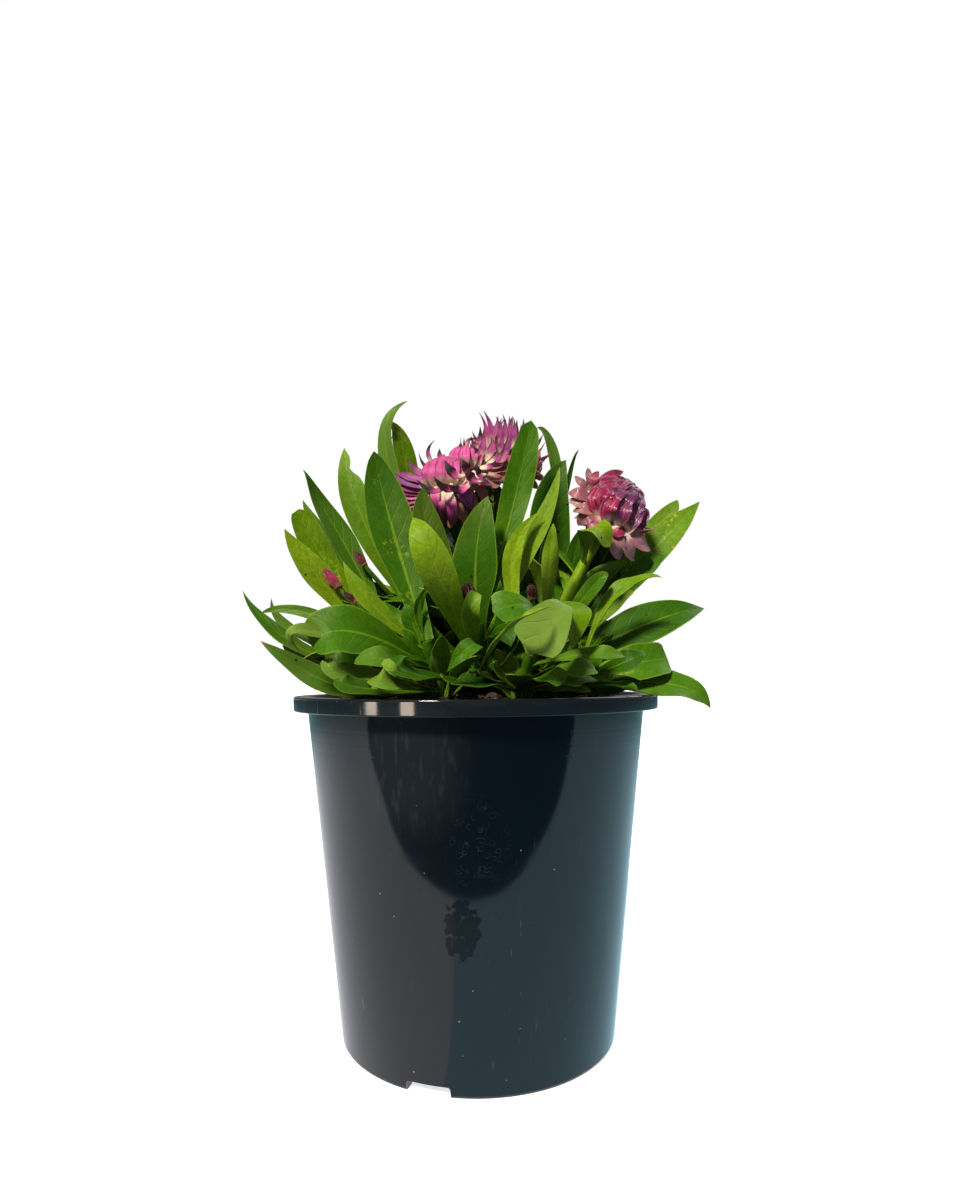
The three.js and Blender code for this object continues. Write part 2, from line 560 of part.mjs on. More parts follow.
// The plant: stems, blooms and buds first, then each leaf in the first form that clears
// every part of the plant that it isn't joined to
function growPlant(random) {
  const parts = Object.keys(STEMS).map((stem) => ({ stem, solid: makeStem(STEMS[stem]) }));
  for (const bud of Object.values(BUDS)) {
    parts.push({ stem: bud.stem, solid: makeStalk(bud) });
  }
  const blooms = Object.entries(BLOOMS).map(([name, bloom]) => [name, makeBloom(bloom, random)]);
  const buds = Object.entries(BUDS).map(([name, bud]) => [name, makeBud(bud)]);
  const obstacles = [...blooms, ...buds].map(([, solid]) => ({ stem: null, solid }));
  obstacles.push({ stem: null, solid: pot }, { stem: null, solid: mound });

  const place = (forms, mustGrow) => {
    const others = [...obstacles, ...parts].filter((part) => part.stem !== forms[0].stem);
    const grow = ({ form, root, middle, tip, width, face }, extra) =>
      blade(form, root, middle, tip, width, face, extra);
    const isClear = (leaf) => {
      const wide = grow(leaf, 2.4 * CLEARANCE);
      return others.every((part) => wide.intersect(part.solid).isEmpty());
    };
    const leaf = forms.find(isClear);
    if (!leaf && mustGrow) {
      throw new Error(`no clear place for leaf ${forms[0].name}`);
    }
    if (leaf) {
      parts.push({ stem: leaf.stem, solid: grow(leaf) });
    }
  };
  LEAVES.forEach((row) => place(chosenForms(row), true));
  for (const plan of BUSH) {
    for (let i = 0; i < plan.count; i += 1) {
      place(bushForms(plan, i, random), false);
    }
  }
  const shoots = Object.keys(STEMS).map((stem) => [
    `shoot_${stem}`, joined(parts.filter((part) => part.stem === stem).map((part) => part.solid)),
  ]);
  return { shoots, blooms, buds };
}

const random = makeRandom(SEED);
const pot = makePot();
const stemHoles = joined(Object.values(STEMS).map((plan) => makeStem(plan, CLEARANCE)));
const mound = makeMix(random).subtract(stemHoles);
const { shoots, blooms, buds } = growPlant(random);

const plant = new THREE.Group();
plant.add(toMesh("pot", pot, COLOURS.pot));
plant.add(toMesh("potting_mix", mound, COLOURS.mix));
shoots.forEach(([name, solid]) => plant.add(toMesh(name, solid, COLOURS.leaf)));
blooms.forEach(([name, solid]) => {
  plant.add(toMesh(name, solid, name === "bloom_crested" ? COLOURS.crested : COLOURS.closed));
});
buds.forEach(([name, solid]) => plant.add(toMesh(name, solid, COLOURS.bud)));

export default plant;
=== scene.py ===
"""Looks of a potted strawflower plant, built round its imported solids.

The tables and the shaping are in millimetres, in the frame of the solids: +Z up, -Y the
front, and the origin on the pot's axis where it stands. Objects are made in metres.
"""

import logging
import math
from collections.abc import Callable
from dataclasses import dataclass, field
from enum import Enum
from random import Random

import bmesh
import bpy
import numpy as np
from mathutils import Euler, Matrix, Quaternion, Vector, kdtree


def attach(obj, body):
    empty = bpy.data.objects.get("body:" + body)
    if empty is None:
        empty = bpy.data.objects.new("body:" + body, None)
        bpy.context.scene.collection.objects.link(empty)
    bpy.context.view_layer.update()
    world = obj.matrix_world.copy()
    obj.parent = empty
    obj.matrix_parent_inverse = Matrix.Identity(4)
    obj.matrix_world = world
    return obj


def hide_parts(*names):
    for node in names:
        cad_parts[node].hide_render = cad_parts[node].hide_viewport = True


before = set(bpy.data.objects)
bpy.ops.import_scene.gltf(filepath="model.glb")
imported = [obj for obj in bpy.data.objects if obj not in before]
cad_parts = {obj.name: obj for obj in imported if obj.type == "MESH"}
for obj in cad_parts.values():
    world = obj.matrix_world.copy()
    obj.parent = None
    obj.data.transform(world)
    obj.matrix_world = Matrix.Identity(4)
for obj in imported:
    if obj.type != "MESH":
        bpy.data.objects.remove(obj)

Array = np.ndarray
Object = bpy.types.Object
Material = bpy.types.Material
Pair = tuple[float, float]
Triple = tuple[float, float, float]
Colour = tuple[float, float, float, float]

MM = 0.001
# How many numbers the solids draw for their chips and bracts, before their leaves
CHIP_DRAWS = 8 * 6
BRACT_DRAWS = (81 + 38) * 3
SOLIDS_SEED = 42
LOOK = "look"
UNDER = "under"
BLADE_MAP = "blade"
LOG = logging.getLogger("plant")


class Side(Enum):
    """A side of a blade, as a sign across it."""

    LEFT = -1
    RIGHT = 1


def srgb(red: float, green: float, blue: float) -> Colour:
    """A linear colour from its 0 to 255 display values.

    Args:
        red: The red, from 0 to 255.
        green: The green.
        blue: The blue.

    Returns:
        The linear colour.
    """
    parts = [value / 255 for value in (red, green, blue)]
    linear = [p / 12.92 if p <= 0.04045 else ((p + 0.055) / 1.055) ** 2.4 for p in parts]
    return (linear[0], linear[1], linear[2], 1.0)


def between(low: float, high: float, share: float) -> float:
    """The value that lies a share of the way from low to high."""
    return low + (high - low) * share


def unit(vectors: Array) -> Array:
    """The vectors scaled to length one, along the last axis."""
    return vectors / np.maximum(np.linalg.norm(vectors, axis=-1, keepdims=True), 1e-9)


def smooth_step(low: float, high: float, values: Array) -> Array:
    """Rises smoothly from 0 at low to 1 at high."""
    share = np.clip((values - low) / (high - low), 0, 1)
    return share * share * (3 - 2 * share)


def through(knots: tuple[Pair, ...], at: Array) -> Array:
    """A smooth curve through the knots.

    Args:
        knots: Pairs of place and value, in rising places.
        at: The places to read.

    Returns:
        The values there, on cubic pieces that share their slopes at the knots.
    """
    places, values = (np.array(part, float) for part in zip(*knots))
    slopes = np.gradient(values, places)
    index = np.clip(np.searchsorted(places, at, side="right") - 1, 0, len(places) - 2)
    span = places[index + 1] - places[index]
    s = np.clip((at - places[index]) / span, 0, 1)
    start = (1 + 2 * s) * (1 - s) ** 2 * values[index] + s * (1 - s) ** 2 * span * slopes[index]
    end = s * s * (3 - 2 * s) * values[index + 1] + s * s * (s - 1) * span * slopes[index + 1]
    return start + end


class Draws:
    """The same repeatable random source as the solids use."""

    def __init__(self, seed: int) -> None:
        """Starts the source at its seed."""
        self.state = seed

    def __call__(self) -> float:
        """The next number from 0 to 1."""
        self.state = (self.state * 16807) % 2147483647
        return self.state / 2147483647

    def skip(self, count: int) -> None:
        """Passes over as many numbers as the solids draw for other parts."""
        for _ in range(count):
            self()


# Shaders


@dataclass(frozen=True)
class Value:
    """What a node gives, which is added and multiplied as a number is."""

    shader: "Shader"
    socket: bpy.types.NodeSocket

    def __add__(self, other: "Value | float") -> "Value":
        """The sum."""
        return self.shader.math("ADD", self, other)

    def __sub__(self, other: "Value | float") -> "Value":
        """The difference."""
        return self.shader.math("SUBTRACT", self, other)

    def __rsub__(self, other: float) -> "Value":
        """A number less this."""
        return self.shader.math("SUBTRACT", other, self)

    def __mul__(self, other: "Value | float") -> "Value":
        """The product."""
        return self.shader.math("MULTIPLY", self, other)

    def __truediv__(self, other: "Value | float") -> "Value":
        """The quotient."""
        return self.shader.math("DIVIDE", self, other)


Source = Value | float | tuple[float, ...]


class Shader:
    """A material whose nodes are added by short calls."""

    def __init__(self, name: str) -> None:
        """Makes the material, with a principled shader on its output.

        Args:
            name: The material's name.
        """
        self.material = bpy.data.materials.new(name)
        self.material.use_nodes = True
        self.tree = self.material.node_tree
        self.tree.nodes.clear()
        self.surface = self.tree.nodes.new("ShaderNodeBsdfPrincipled")
        output = self.tree.nodes.new("ShaderNodeOutputMaterial")
        self.tree.links.new(self.surface.outputs[0], output.inputs[0])

    def node(self, kind: str, values: dict[int | str, Source] | None = None, **settings: object) -> bpy.types.Node:
        """Adds a node.

        Args:
            kind: The node's type.
            values: For each input, a value to link or a constant.
            settings: The node's own settings.

        Returns:
            The new node.
        """
        made = self.tree.nodes.new(kind)
        for key, value in settings.items():
            setattr(made, key, value)
        for key, value in (values or {}).items():
            self.feed(made.inputs[key], value)
        return made

    def out(self, made: bpy.types.Node, output: int | str = 0) -> Value:
        """What one output of a node gives."""
        return Value(self, made.outputs[output])

    def feed(self, socket: bpy.types.NodeSocket, source: Source) -> None:
        """Links a socket to a value, or sets it to a constant.

        Args:
            socket: The input to feed.
            source: What to feed it.
        """
        if isinstance(source, Value):
            self.tree.links.new(source.socket, socket)
        else:
            socket.default_value = source

    def set(self, **sources: Source) -> None:
        """Feeds the principled shader's inputs, with _ for each space in their names."""
        for key, source in sources.items():
            self.feed(self.surface.inputs[key.replace("_", " ")], source)

    def math(self, operation: str, first: Source, second: Source = 0.5, clamp: bool = False) -> Value:
        """The result of a math node."""
        return self.out(self.node("ShaderNodeMath", {0: first, 1: second}, operation=operation, use_clamp=clamp))

    def mix(self, share: Source, first: Source, second: Source) -> Value:
        """One colour mixed with another by the share."""
        return self.out(self.node("ShaderNodeMix", {0: share, 6: first, 7: second}, data_type="RGBA"), 2)

    def rise(self, value: Source, low: float, high: float, least: float = 0, most: float = 1) -> Value:
        """A smooth rise from least to most as the value goes from low to high."""
        values = {0: value, 1: low, 2: high, 3: least, 4: most}
        return self.out(self.node("ShaderNodeMapRange", values, interpolation_type="SMOOTHSTEP"))

    def ramp(self, share: Source, *stops: tuple[float, Colour]) -> Value:
        """A colour from stops along the share.

        Args:
            share: Where along the stops, from 0 to 1.
            stops: Pairs of place and colour.

        Returns:
            The colour.
        """
        made = self.node("ShaderNodeValToRGB", {0: share})
        points = made.color_ramp.elements
        while len(points) < len(stops):
            points.new(1)
        for point, (place, colour) in zip(points, stops):
            point.position = place
            point.color = colour
        return self.out(made)

    def noise(self, scale: float, vector: Value, detail: float) -> Value:
        """Fractal noise at the vector."""
        return self.out(self.node("ShaderNodeTexNoise", {"Vector": vector, "Scale": scale, "Detail": detail}))

    def spots(self, scale: float, vector: Value, size: float) -> Value:
        """Sparse round spots of many sizes: 1 inside them.

        Args:
            scale: How many cells fill a metre.
            vector: The place to read.
            size: The largest spot, as a share of a cell.

        Returns:
            1 inside the spots, and 0 outside.
        """
        cells = self.node("ShaderNodeTexVoronoi", {"Vector": vector, "Scale": scale})
        parts = self.node("ShaderNodeSeparateColor", {0: self.out(cells, "Color")})
        return self.rise(self.out(parts) * size - self.out(cells, "Distance"), 0, 0.02)

    def length(self, vector: Value) -> Value:
        """How long a vector is."""
        return self.out(self.node("ShaderNodeVectorMath", {0: vector}, operation="LENGTH"), "Value")

    def near(self, place: Value, centre: Triple, size: Triple) -> Value:
        """How near a place is to a centre: 1 there, and 0 past the size.

        Args:
            place: Object coordinates.
            centre: The centre, in metres.
            size: The reach along each axis.

        Returns:
            The nearness.
        """
        values = {"Vector": place, "Location": centre, "Scale": size}
        centred = self.out(self.node("ShaderNodeMapping", values, vector_type="TEXTURE"))
        return self.rise(self.length(centred), 0.35, 1, 1, 0)

    def place(self) -> Value:
        """Object coordinates, in metres."""
        return self.out(self.node("ShaderNodeTexCoord"), "Object")

    def split(self, vector: Value) -> tuple[Value, Value, Value]:
        """The three parts of a vector."""
        made = self.node("ShaderNodeSeparateXYZ", {0: vector})
        return self.out(made, 0), self.out(made, 1), self.out(made, 2)

    def vector(self, x: Value, y: Value, z: Value) -> Value:
        """A vector from its parts."""
        return self.out(self.node("ShaderNodeCombineXYZ", {0: x, 1: y, 2: z}))

    def bump(self, height: Value, depth: float, strength: float = 1) -> None:
        """Raises the surface by the height times the depth in metres."""
        values = {"Strength": strength, "Distance": depth, "Height": height}
        self.set(Normal=self.out(self.node("ShaderNodeBump", values)))

    def look(self) -> tuple[Value, Value, Value, Value]:
        """The four parts of the look that each blade carries.

        Returns:
            The parts, in order.
        """
        made = self.node("ShaderNodeAttribute", attribute_name=LOOK)
        parts = self.node("ShaderNodeSeparateColor", {0: self.out(made, "Color")})
        return self.out(parts, 0), self.out(parts, 1), self.out(parts, 2), self.out(made, "Alpha")

    def blade(self) -> tuple[Value, Value, Value]:
        """The blade's map: across it, from its midrib to its sides (0 to 1), and along it."""
        x, y, _ = self.split(self.out(self.node("ShaderNodeUVMap", uv_map=BLADE_MAP)))
        return x, self.math("ABSOLUTE", x * 2 - 1), y


@dataclass(frozen=True)
class PotFinish:
    """Glossy black moulded plastic, with dust, scuffs and dried water marks."""

    colour: Colour = (0.0008, 0.003, 0.005, 1)
    dust: Colour = (0.42, 0.5, 0.52, 1)
    roughness: float = 0.075
    mark: Triple = (-0.0052, -0.0585, 0.0582)
    mark_size: Triple = (0.0094, 0.03, 0.0165)
    haze: Triple = (-0.021, -0.058, 0.113)
    haze_size: Triple = (0.024, 0.03, 0.03)
    rings: Triple = (0.0005, -0.061, 0.0865)
    rings_size: Triple = (0.0125, 0.02, 0.02)
    lines: Pair = (0.111, 0.1235)
    line_step: float = 0.0039
    relief: float = 0.00022

    def build(self) -> Material:
        """Builds the finish.

        Returns:
            The material, with its nodes.
        """
        shader = Shader("pot_plastic")
        place = shader.place()
        x, y, z = shader.split(place)
        scratch = shader.rise(shader.noise(900, shader.vector(x, y, z * 0.06), 3), 0.66, 0.74)
        scuffs = scratch * shader.rise(shader.noise(28, place, 3), 0.5, 0.68)
        specks = shader.spots(190, place, 0.075) * shader.rise(shader.noise(1500, place, 3), 0.38, 0.52)
        grime = shader.rise(shader.noise(60, place, 6), 0.52, 0.72, 0, 0.5)
        worn = shader.near(place, self.mark, self.mark_size) * 0.5 + shader.noise(380, place, 7)
        mark = shader.rise(worn, 0.84, 0.9)

        streaky = shader.rise(shader.noise(620, shader.vector(x, y, z * 0.22), 3), 0.5, 0.72, 0.5, 1.2)
        haze = shader.near(place, self.haze, self.haze_size) * streaky * 0.04
        cells = shader.out(shader.node("ShaderNodeTexVoronoi", {"Vector": place, "Scale": 520}), "Distance")
        outline = shader.rise(cells, 0.42, 0.46) * shader.rise(cells, 0.47, 0.51, 1, 0)
        outline = outline * (shader.rise(shader.noise(260, place, 3), 0.46, 0.6) * 0.07)
        dried = shader.near(place, self.rings, self.rings_size) * outline
        dusty = shader.math("ADD", specks * 0.7, scuffs * 0.16 + haze + dried, clamp=True)

        shader.set(Base_Color=shader.mix(dusty, self.colour, self.dust), Metallic=mark * 0.55)
        rough = mark * 0.12 + (grime * 0.08 + self.roughness)
        shader.set(Roughness=shader.math("MAXIMUM", rough, dusty))
        shader.set(Coat_Weight=0.12, Coat_Roughness=0.5, Specular_IOR_Level=0.42)
        low, high = self.lines
        band = shader.rise(z, low, low + 0.001) * shader.rise(z, high - 0.001, high, 1, 0)
        lines = shader.rise(shader.math("SINE", z * (math.tau / self.line_step)), 0.7, 1) * band
        shader.bump(scratch * 0.06 + shader.noise(34, place, 1) + lines * -0.03, self.relief)
        return shader.material


@dataclass(frozen=True)
class MixFinish:
    """Moist bark and peat: look's first part is tone and its third is paleness."""

    peat: Colour = (0.012, 0.0075, 0.0045, 1)
    bark: Colour = (0.07, 0.03, 0.013, 1)
    pale: Colour = (0.24, 0.14, 0.07, 1)
    relief: float = 0.0009

    def build(self) -> Material:
        """Builds the finish.

        Returns:
            The material, with its nodes.
        """
        shader = Shader("bark_mix")
        place = shader.place()
        tone, _, paleness, _ = shader.look()
        grain = shader.noise(520, place, 6)
        colour = shader.mix(tone * shader.rise(grain, 0.3, 0.75, 0.2, 1), self.peat, self.bark)
        light = paleness * shader.rise(shader.noise(240, place, 4), 0.4, 0.7)
        shader.set(Base_Color=shader.mix(light, colour, self.pale), Roughness=0.82)
        shader.bump(grain + shader.noise(1800, place, 3), self.relief, 0.9)
        return shader.material


@dataclass(frozen=True)
class LeafFinish:
    """A fresh satin leaf: look's parts are shade (its green, with painted shade and light), greyness, withering and
    yellow patches.
    """

    deep: Colour = srgb(16, 60, 0)
    mid: Colour = srgb(66, 116, 0)
    bright: Colour = srgb(152, 184, 14)
    olive: Colour = srgb(116, 122, 6)
    grey: Colour = srgb(112, 142, 52)
    rib: Colour = srgb(160, 190, 46)
    patch: Colour = srgb(206, 206, 70)
    withered: Colour = srgb(120, 84, 44)
    speck: Colour = srgb(40, 34, 12)
    side_veins: float = 10
    vein_slant: float = 1.5
    relief: float = 0.0003

    def build(self) -> Material:
        """Builds the finish.

        Returns:
            The material, with its nodes.
        """
        shader = Shader("leaf")
        place = shader.place()
        shade, greyness, wither, patches = shader.look()
        _, across, along = shader.blade()
        under = shader.out(shader.node("ShaderNodeAttribute", attribute_name=UNDER), "Fac")
        fine = shader.noise(310, place, 5)
        grain = shader.noise(1300, place, 2)

        # The shade picks the green from deep to bright: the leaf's own tone, with painted shade on leaves that lie in
        # shadow and painted light on lit ones
        shade = shader.math("ADD", shade, (shader.noise(42, place, 3) - 0.5) * 0.5, clamp=True)
        green = shader.ramp(shade, (0, self.deep), (0.5, self.mid), (1, self.bright))
        green = shader.mix(shader.rise(shader.noise(24, place, 2), 0.52, 0.75, 0, 0.32), green, self.olive)
        green = shader.mix(shader.rise(fine, 0.35, 0.7, 0.2, 0), green, self.deep)
        green = shader.mix(shader.rise(grain, 0.36, 0.6, 0.22, 0), green, self.deep)

        slanted = along - across * (self.vein_slant / self.side_veins)
        wobble = shader.noise(120, place, 1) * 0.05
        wave = shader.math("SINE", (slanted + wobble) * (self.side_veins * math.tau))
        vein = shader.rise(wave, 0.9, 1) * shader.rise(across, 0.62, 0.95, 1, 0)
        rib = shader.rise(across / shader.rise(along, 0, 0.85, 0.15, 0.016), 0.45, 1, 1, 0)
        green = shader.mix(shader.math("MAXIMUM", rib, vein * 0.11) * 0.32, green, self.rib)
        # A paler edge along each leaf, in the rib colour: painted highlight of lit edges
        green = shader.mix(shader.rise(across, 0.93, 1, 0, 0.4), green, self.rib)

        net = shader.rise(shader.noise(650, place, 4), 0.5, 0.62)
        zone = shader.rise(shader.noise(75, place, 2), 0.56, 0.62)
        green = shader.mix(net * zone * patches, green, self.patch)
        colour = shader.mix(shader.math("MAXIMUM", greyness, under * 0.62), green, self.grey)
        colour = shader.mix(shader.spots(150, place, 0.11), colour, self.speck)
        reached = shader.noise(260, place, 3) * 0.1 + along - (1.08 - wither * 0.12)
        colour = shader.mix(shader.rise(reached, 0, 0.05), colour, self.withered)

        shader.set(Base_Color=colour, Roughness=fine * 0.22 + 0.36)
        shader.set(Specular_IOR_Level=0.2, Specular_Tint=(0.9, 1, 0.55, 1))
        shader.set(Subsurface_Weight=0.08, Subsurface_Radius=(0.6, 1, 0.1), Subsurface_Scale=0.0012)
        shader.bump(fine * 0.5 - vein * 0.3 + grain * 0.3 + wave * -0.04, self.relief, 0.8)
        return shader.material


@dataclass(frozen=True)
class BractFinish:
    """Papery bracts: look's parts are purpleness, dryness, darkness of the tip and a seed."""

    name: str
    base: Colour
    body: Colour
    purple: Colour
    tip: Colour
    dry: Colour
    # The margin is the bracts' dark edge colour, which also paints shade between overlapping bracts
    margin: Colour
    base_reach: float
    roughness: float = 0.42
    shine: float = 0.3
    relief: float = 0.0004

    def build(self) -> Material:
        """Builds the finish.

        Returns:
            The material, with its nodes.
        """
        shader = Shader(self.name)
        purpleness, dryness, darkness, seed = shader.look()
        sideways, across, along = shader.blade()
        streaks = shader.noise(1.6, shader.vector(sideways * 9, along * 1.1, seed * 40), 4)
        reach = along + (streaks - 0.5) * 0.5
        blush = shader.mix(purpleness, self.body, self.purple)
        colour = shader.mix(shader.rise(reach, self.base_reach * 0.35, self.base_reach), self.base, blush)
        colour = shader.mix(shader.rise(streaks, 0.5, 0.72, 0, 0.24), colour, self.base)
        colour = shader.mix(shader.rise(streaks, 0.48, 0.3, 0, 0.5), colour, self.tip)
        # Darker side margins: partly the bracts' own edge colour, partly painted shade between overlapping bracts
        edge = shader.rise(across, 0.55, 1, 0, 0.65) * shader.rise(along, 0.2, 0.7)
        colour = shader.mix(edge, colour, self.margin)
        folded = shader.rise(darkness * 0.4 + reach, 0.84, 1.02) * darkness
        colour = shader.mix(folded, colour, self.tip)
        wear = dryness * shader.rise(shader.noise(420, shader.place(), 4), 0.3, 0.62, 0.55, 1)
        shader.set(Base_Color=shader.mix(wear, colour, self.dry))
        shader.set(Roughness=self.roughness, Specular_IOR_Level=self.shine)
        shader.set(Subsurface_Weight=0.22, Subsurface_Radius=(1, 0.5, 0.55), Subsurface_Scale=0.002)
        shader.bump(streaks, self.relief, 0.7)
        return shader.material


CRESTED = BractFinish(
    "bract_crested", srgb(255, 228, 200), srgb(222, 78, 158), srgb(124, 20, 124),
    srgb(38, 0, 16), srgb(150, 112, 72), srgb(106, 0, 56), 0.4,
)
CLOSED = BractFinish(
    "bract_closed", srgb(244, 210, 196), srgb(166, 12, 76), srgb(98, 26, 92),
    srgb(62, 6, 38), srgb(190, 146, 132), srgb(96, 8, 56), 0.3, 0.3, 0.5,
)
# The bud purple is the buds' own dark colour, darkened further as painted shade for buds that lie in shadow
BUD = BractFinish(
    "bud_scales", srgb(150, 122, 76), srgb(214, 66, 112), srgb(64, 8, 26),
    srgb(44, 4, 14), srgb(120, 92, 56), srgb(112, 10, 48), 0.26,
)


@dataclass(frozen=True)
class StageFinish:
    """A plain matt surface for the stage."""

    name: str
    colour: Colour
    glow: float = 0.0

    def build(self) -> Material:
        """Builds the finish.

        Returns:
            The material, with its nodes.
        """
        shader = Shader(self.name)
        shader.set(Base_Color=self.colour, Roughness=0.9, Specular_IOR_Level=0.1)
        shader.set(Emission_Color=self.colour, Emission_Strength=self.glow)
        return shader.material


@dataclass(frozen=True)
class CardFinish:
    """A card that only shines, and fades to its far colour and to the horizon's."""

    name: str
    colour: Colour
    far: Colour
    horizon: Colour = (0.05, 0.09, 0.13, 1)

    def build(self) -> Material:
        """Builds the finish.

        Returns:
            The material, with its nodes.
        """
        shader = Shader(self.name)
        reach = shader.length(shader.place())
        glow = shader.mix(shader.rise(reach, 0.25, 1.45), self.colour, self.far)
        glow = shader.mix(shader.rise(reach, 2.2, 4.5), glow, self.horizon)
        shader.set(Base_Color=(0, 0, 0, 1), Specular_IOR_Level=0)
        shader.set(Emission_Color=glow, Emission_Strength=1)
        return shader.material


# Flat masters, modelled once, and the meshes that are made of their bent copies


@dataclass
class Flat:
    """A modelled mesh as arrays, ready to be bent: points, faces and a flat map."""

    points: Array
    corners: Array
    sizes: Array
    flat: Array

    @classmethod
    def taken_from(cls, made: Object) -> "Flat":
        """The object's mesh as arrays; the object is removed.

        Args:
            made: The object, in object mode.

        Returns:
            Its points, faces and map.
        """
        mesh = made.data
        points = np.empty(len(mesh.vertices) * 3)
        mesh.vertices.foreach_get("co", points)
        corners = np.empty(len(mesh.loops), np.int64)
        mesh.loops.foreach_get("vertex_index", corners)
        sizes = np.empty(len(mesh.polygons), np.int64)
        mesh.polygons.foreach_get("loop_total", sizes)
        flat = np.zeros(len(mesh.loops) * 2)
        if mesh.uv_layers:
            mesh.uv_layers[0].uv.foreach_get("vector", flat)
        bpy.data.objects.remove(made)
        return cls(points.reshape(-1, 3), corners, sizes, flat.reshape(-1, 2))


def start_primitive(add: Callable[..., object], **sizes: object) -> Object:
    """Adds a primitive with nothing else selected, and opens it in edit mode.

    Args:
        add: The operator that adds it.
        sizes: The operator's settings.

    Returns:
        The new object, in edit mode.
    """
    bpy.ops.object.select_all(action="DESELECT")
    add(**sizes)
    bpy.ops.object.mode_set(mode="EDIT")
    return bpy.context.object


def select_where(made: Object, wanted: Callable[[Vector], bool]) -> None:
    """Selects only the vertices whose places the test accepts.

    Args:
        made: The object, in edit mode.
        wanted: The test of a place.
    """
    bpy.ops.mesh.select_mode(type="VERT")
    mesh = bmesh.from_edit_mesh(made.data)
    for vertex in mesh.verts:
        vertex.select = wanted(vertex.co)
    mesh.select_flush(True)
    bmesh.update_edit_mesh(made.data)


def add_modifier(made: Object, kind: str, **settings: object) -> None:
    """Adds a modifier and applies it.

    Args:
        made: The object.
        kind: The modifier's type.
        settings: The settings that it gets.
    """
    modifier = made.modifiers.new(kind.lower(), kind)
    for key, value in settings.items():
        setattr(modifier, key, value)
    bpy.context.view_layer.objects.active = made
    bpy.ops.object.modifier_apply(modifier=modifier.name)


@dataclass(frozen=True)
class BladeForm:
    """A leaf's or bract's outline, and how finely it is divided.

    The knots give the share of the full width along the blade, and the ridge is how
    deep the midrib lies, as a share of the thickness. An end that isn't pointed has a
    width too, and is rounded over its last part.
    """

    rows: int
    columns: int
    knots: tuple[Pair, ...]
    end: float = 0.0
    ridge: float = 0.6

    SHEET = 0.01
    ROUND_FROM = 0.93
    ROUND_OVER = 0.07

    def model(self) -> Flat:
        """Models the blade flat, 2 wide and 2 long, in a sheet of even thickness.

        Returns:
            The flat master.
        """
        blade = start_primitive(
            bpy.ops.mesh.primitive_grid_add, x_subdivisions=self.columns, y_subdivisions=self.rows, size=2,
        )
        knots = (*self.knots, (1.0, self.end))
        for row in range(self.rows + 1):
            along = row / self.rows
            share = float(through(knots, np.array([along]))[0])
            if self.end and along > self.ROUND_FROM:
                past = (along - self.ROUND_FROM) / self.ROUND_OVER
                share *= math.sqrt(max(0.0, 1 - past**2))
            select_where(blade, lambda place: abs(place.y - (2 * along - 1)) < 1e-4)
            bpy.ops.transform.resize(value=(max(share, 0.0), 1, 1))
        select_where(blade, lambda place: abs(place.x) < 1e-4 and place.y < 0.9)
        bpy.ops.transform.translate(value=(0, 0, -self.ridge * self.SHEET))
        bpy.ops.mesh.select_all(action="SELECT")
        bpy.ops.mesh.remove_doubles(threshold=1e-4)
        bpy.ops.object.mode_set(mode="OBJECT")
        add_modifier(blade, "SOLIDIFY", thickness=2 * self.SHEET, offset=0)
        return Flat.taken_from(blade)


class Form(Enum):
    """The blades that are modelled."""

    LEAF = BladeForm(26, 8, ((0, 0.2), (0.16, 0.28), (0.38, 0.76), (0.58, 1), (0.8, 0.7), (0.92, 0.34)))
    POINT = BladeForm(26, 8, ((0, 0.2), (0.14, 0.3), (0.34, 0.78), (0.52, 1), (0.76, 0.64), (0.91, 0.24)))
    BLUNT = BladeForm(26, 8, ((0, 0.2), (0.16, 0.28), (0.38, 0.76), (0.6, 1), (0.85, 0.9)), 0.62)
    BROAD = BladeForm(26, 8, ((0, 0.3), (0.15, 0.5), (0.42, 1), (0.65, 0.88), (0.85, 0.5), (0.94, 0.26)))
    ROUND = BladeForm(26, 8, ((0, 0.2), (0.16, 0.3), (0.4, 0.78), (0.62, 1), (0.84, 0.84), (0.93, 0.66)), 0.46)
    FAN = BladeForm(26, 8, ((0, 0.14), (0.4, 0.16), (0.5, 0.2), (0.62, 0.44), (0.76, 0.72), (0.92, 1)), 0.98)
    SQUARE = BladeForm(26, 8, ((0, 0.2), (0.14, 0.4), (0.34, 0.88), (0.55, 1), (0.88, 0.94)), 0.8)
    BUSH = BladeForm(20, 6, ((0, 0.2), (0.2, 0.34), (0.5, 1), (0.8, 0.76), (0.93, 0.36)))
    SPIKE = BladeForm(12, 4, ((0, 0.62), (0.3, 1), (0.6, 0.62), (0.85, 0.22)), ridge=0.2)
    STRAP = BladeForm(12, 4, ((0, 0.62), (0.4, 1), (0.75, 0.84), (0.92, 0.42)), ridge=0.2)
    CLAW = BladeForm(12, 4, ((0, 0.4), (0.3, 0.55), (0.58, 1), (0.78, 0.72), (0.92, 0.3)), ridge=0.2)
    SCALE = BladeForm(12, 6, ((0, 0.7), (0.35, 1), (0.7, 0.94), (0.88, 0.66)), 0.3, ridge=0.1)


@dataclass(frozen=True)
class RodForm:
    """A round rod, modelled upright with a radius of 1 and 2 tall."""

    sides: int
    rings: int

    def model(self) -> Flat:
        """Models the rod from a cylinder whose sides are divided into rings.

        Returns:
            The master.
        """
        rod = start_primitive(bpy.ops.mesh.primitive_cylinder_add, vertices=self.sides, radius=1, depth=2)
        bpy.ops.mesh.select_mode(type="EDGE")
        mesh = bmesh.from_edit_mesh(rod.data)
        for edge in mesh.edges:
            edge.select = abs(edge.verts[0].co.z - edge.verts[1].co.z) > 1
        bmesh.update_edit_mesh(rod.data)
        bpy.ops.mesh.subdivide(number_cuts=self.rings)
        bpy.ops.object.mode_set(mode="OBJECT")
        return Flat.taken_from(rod)


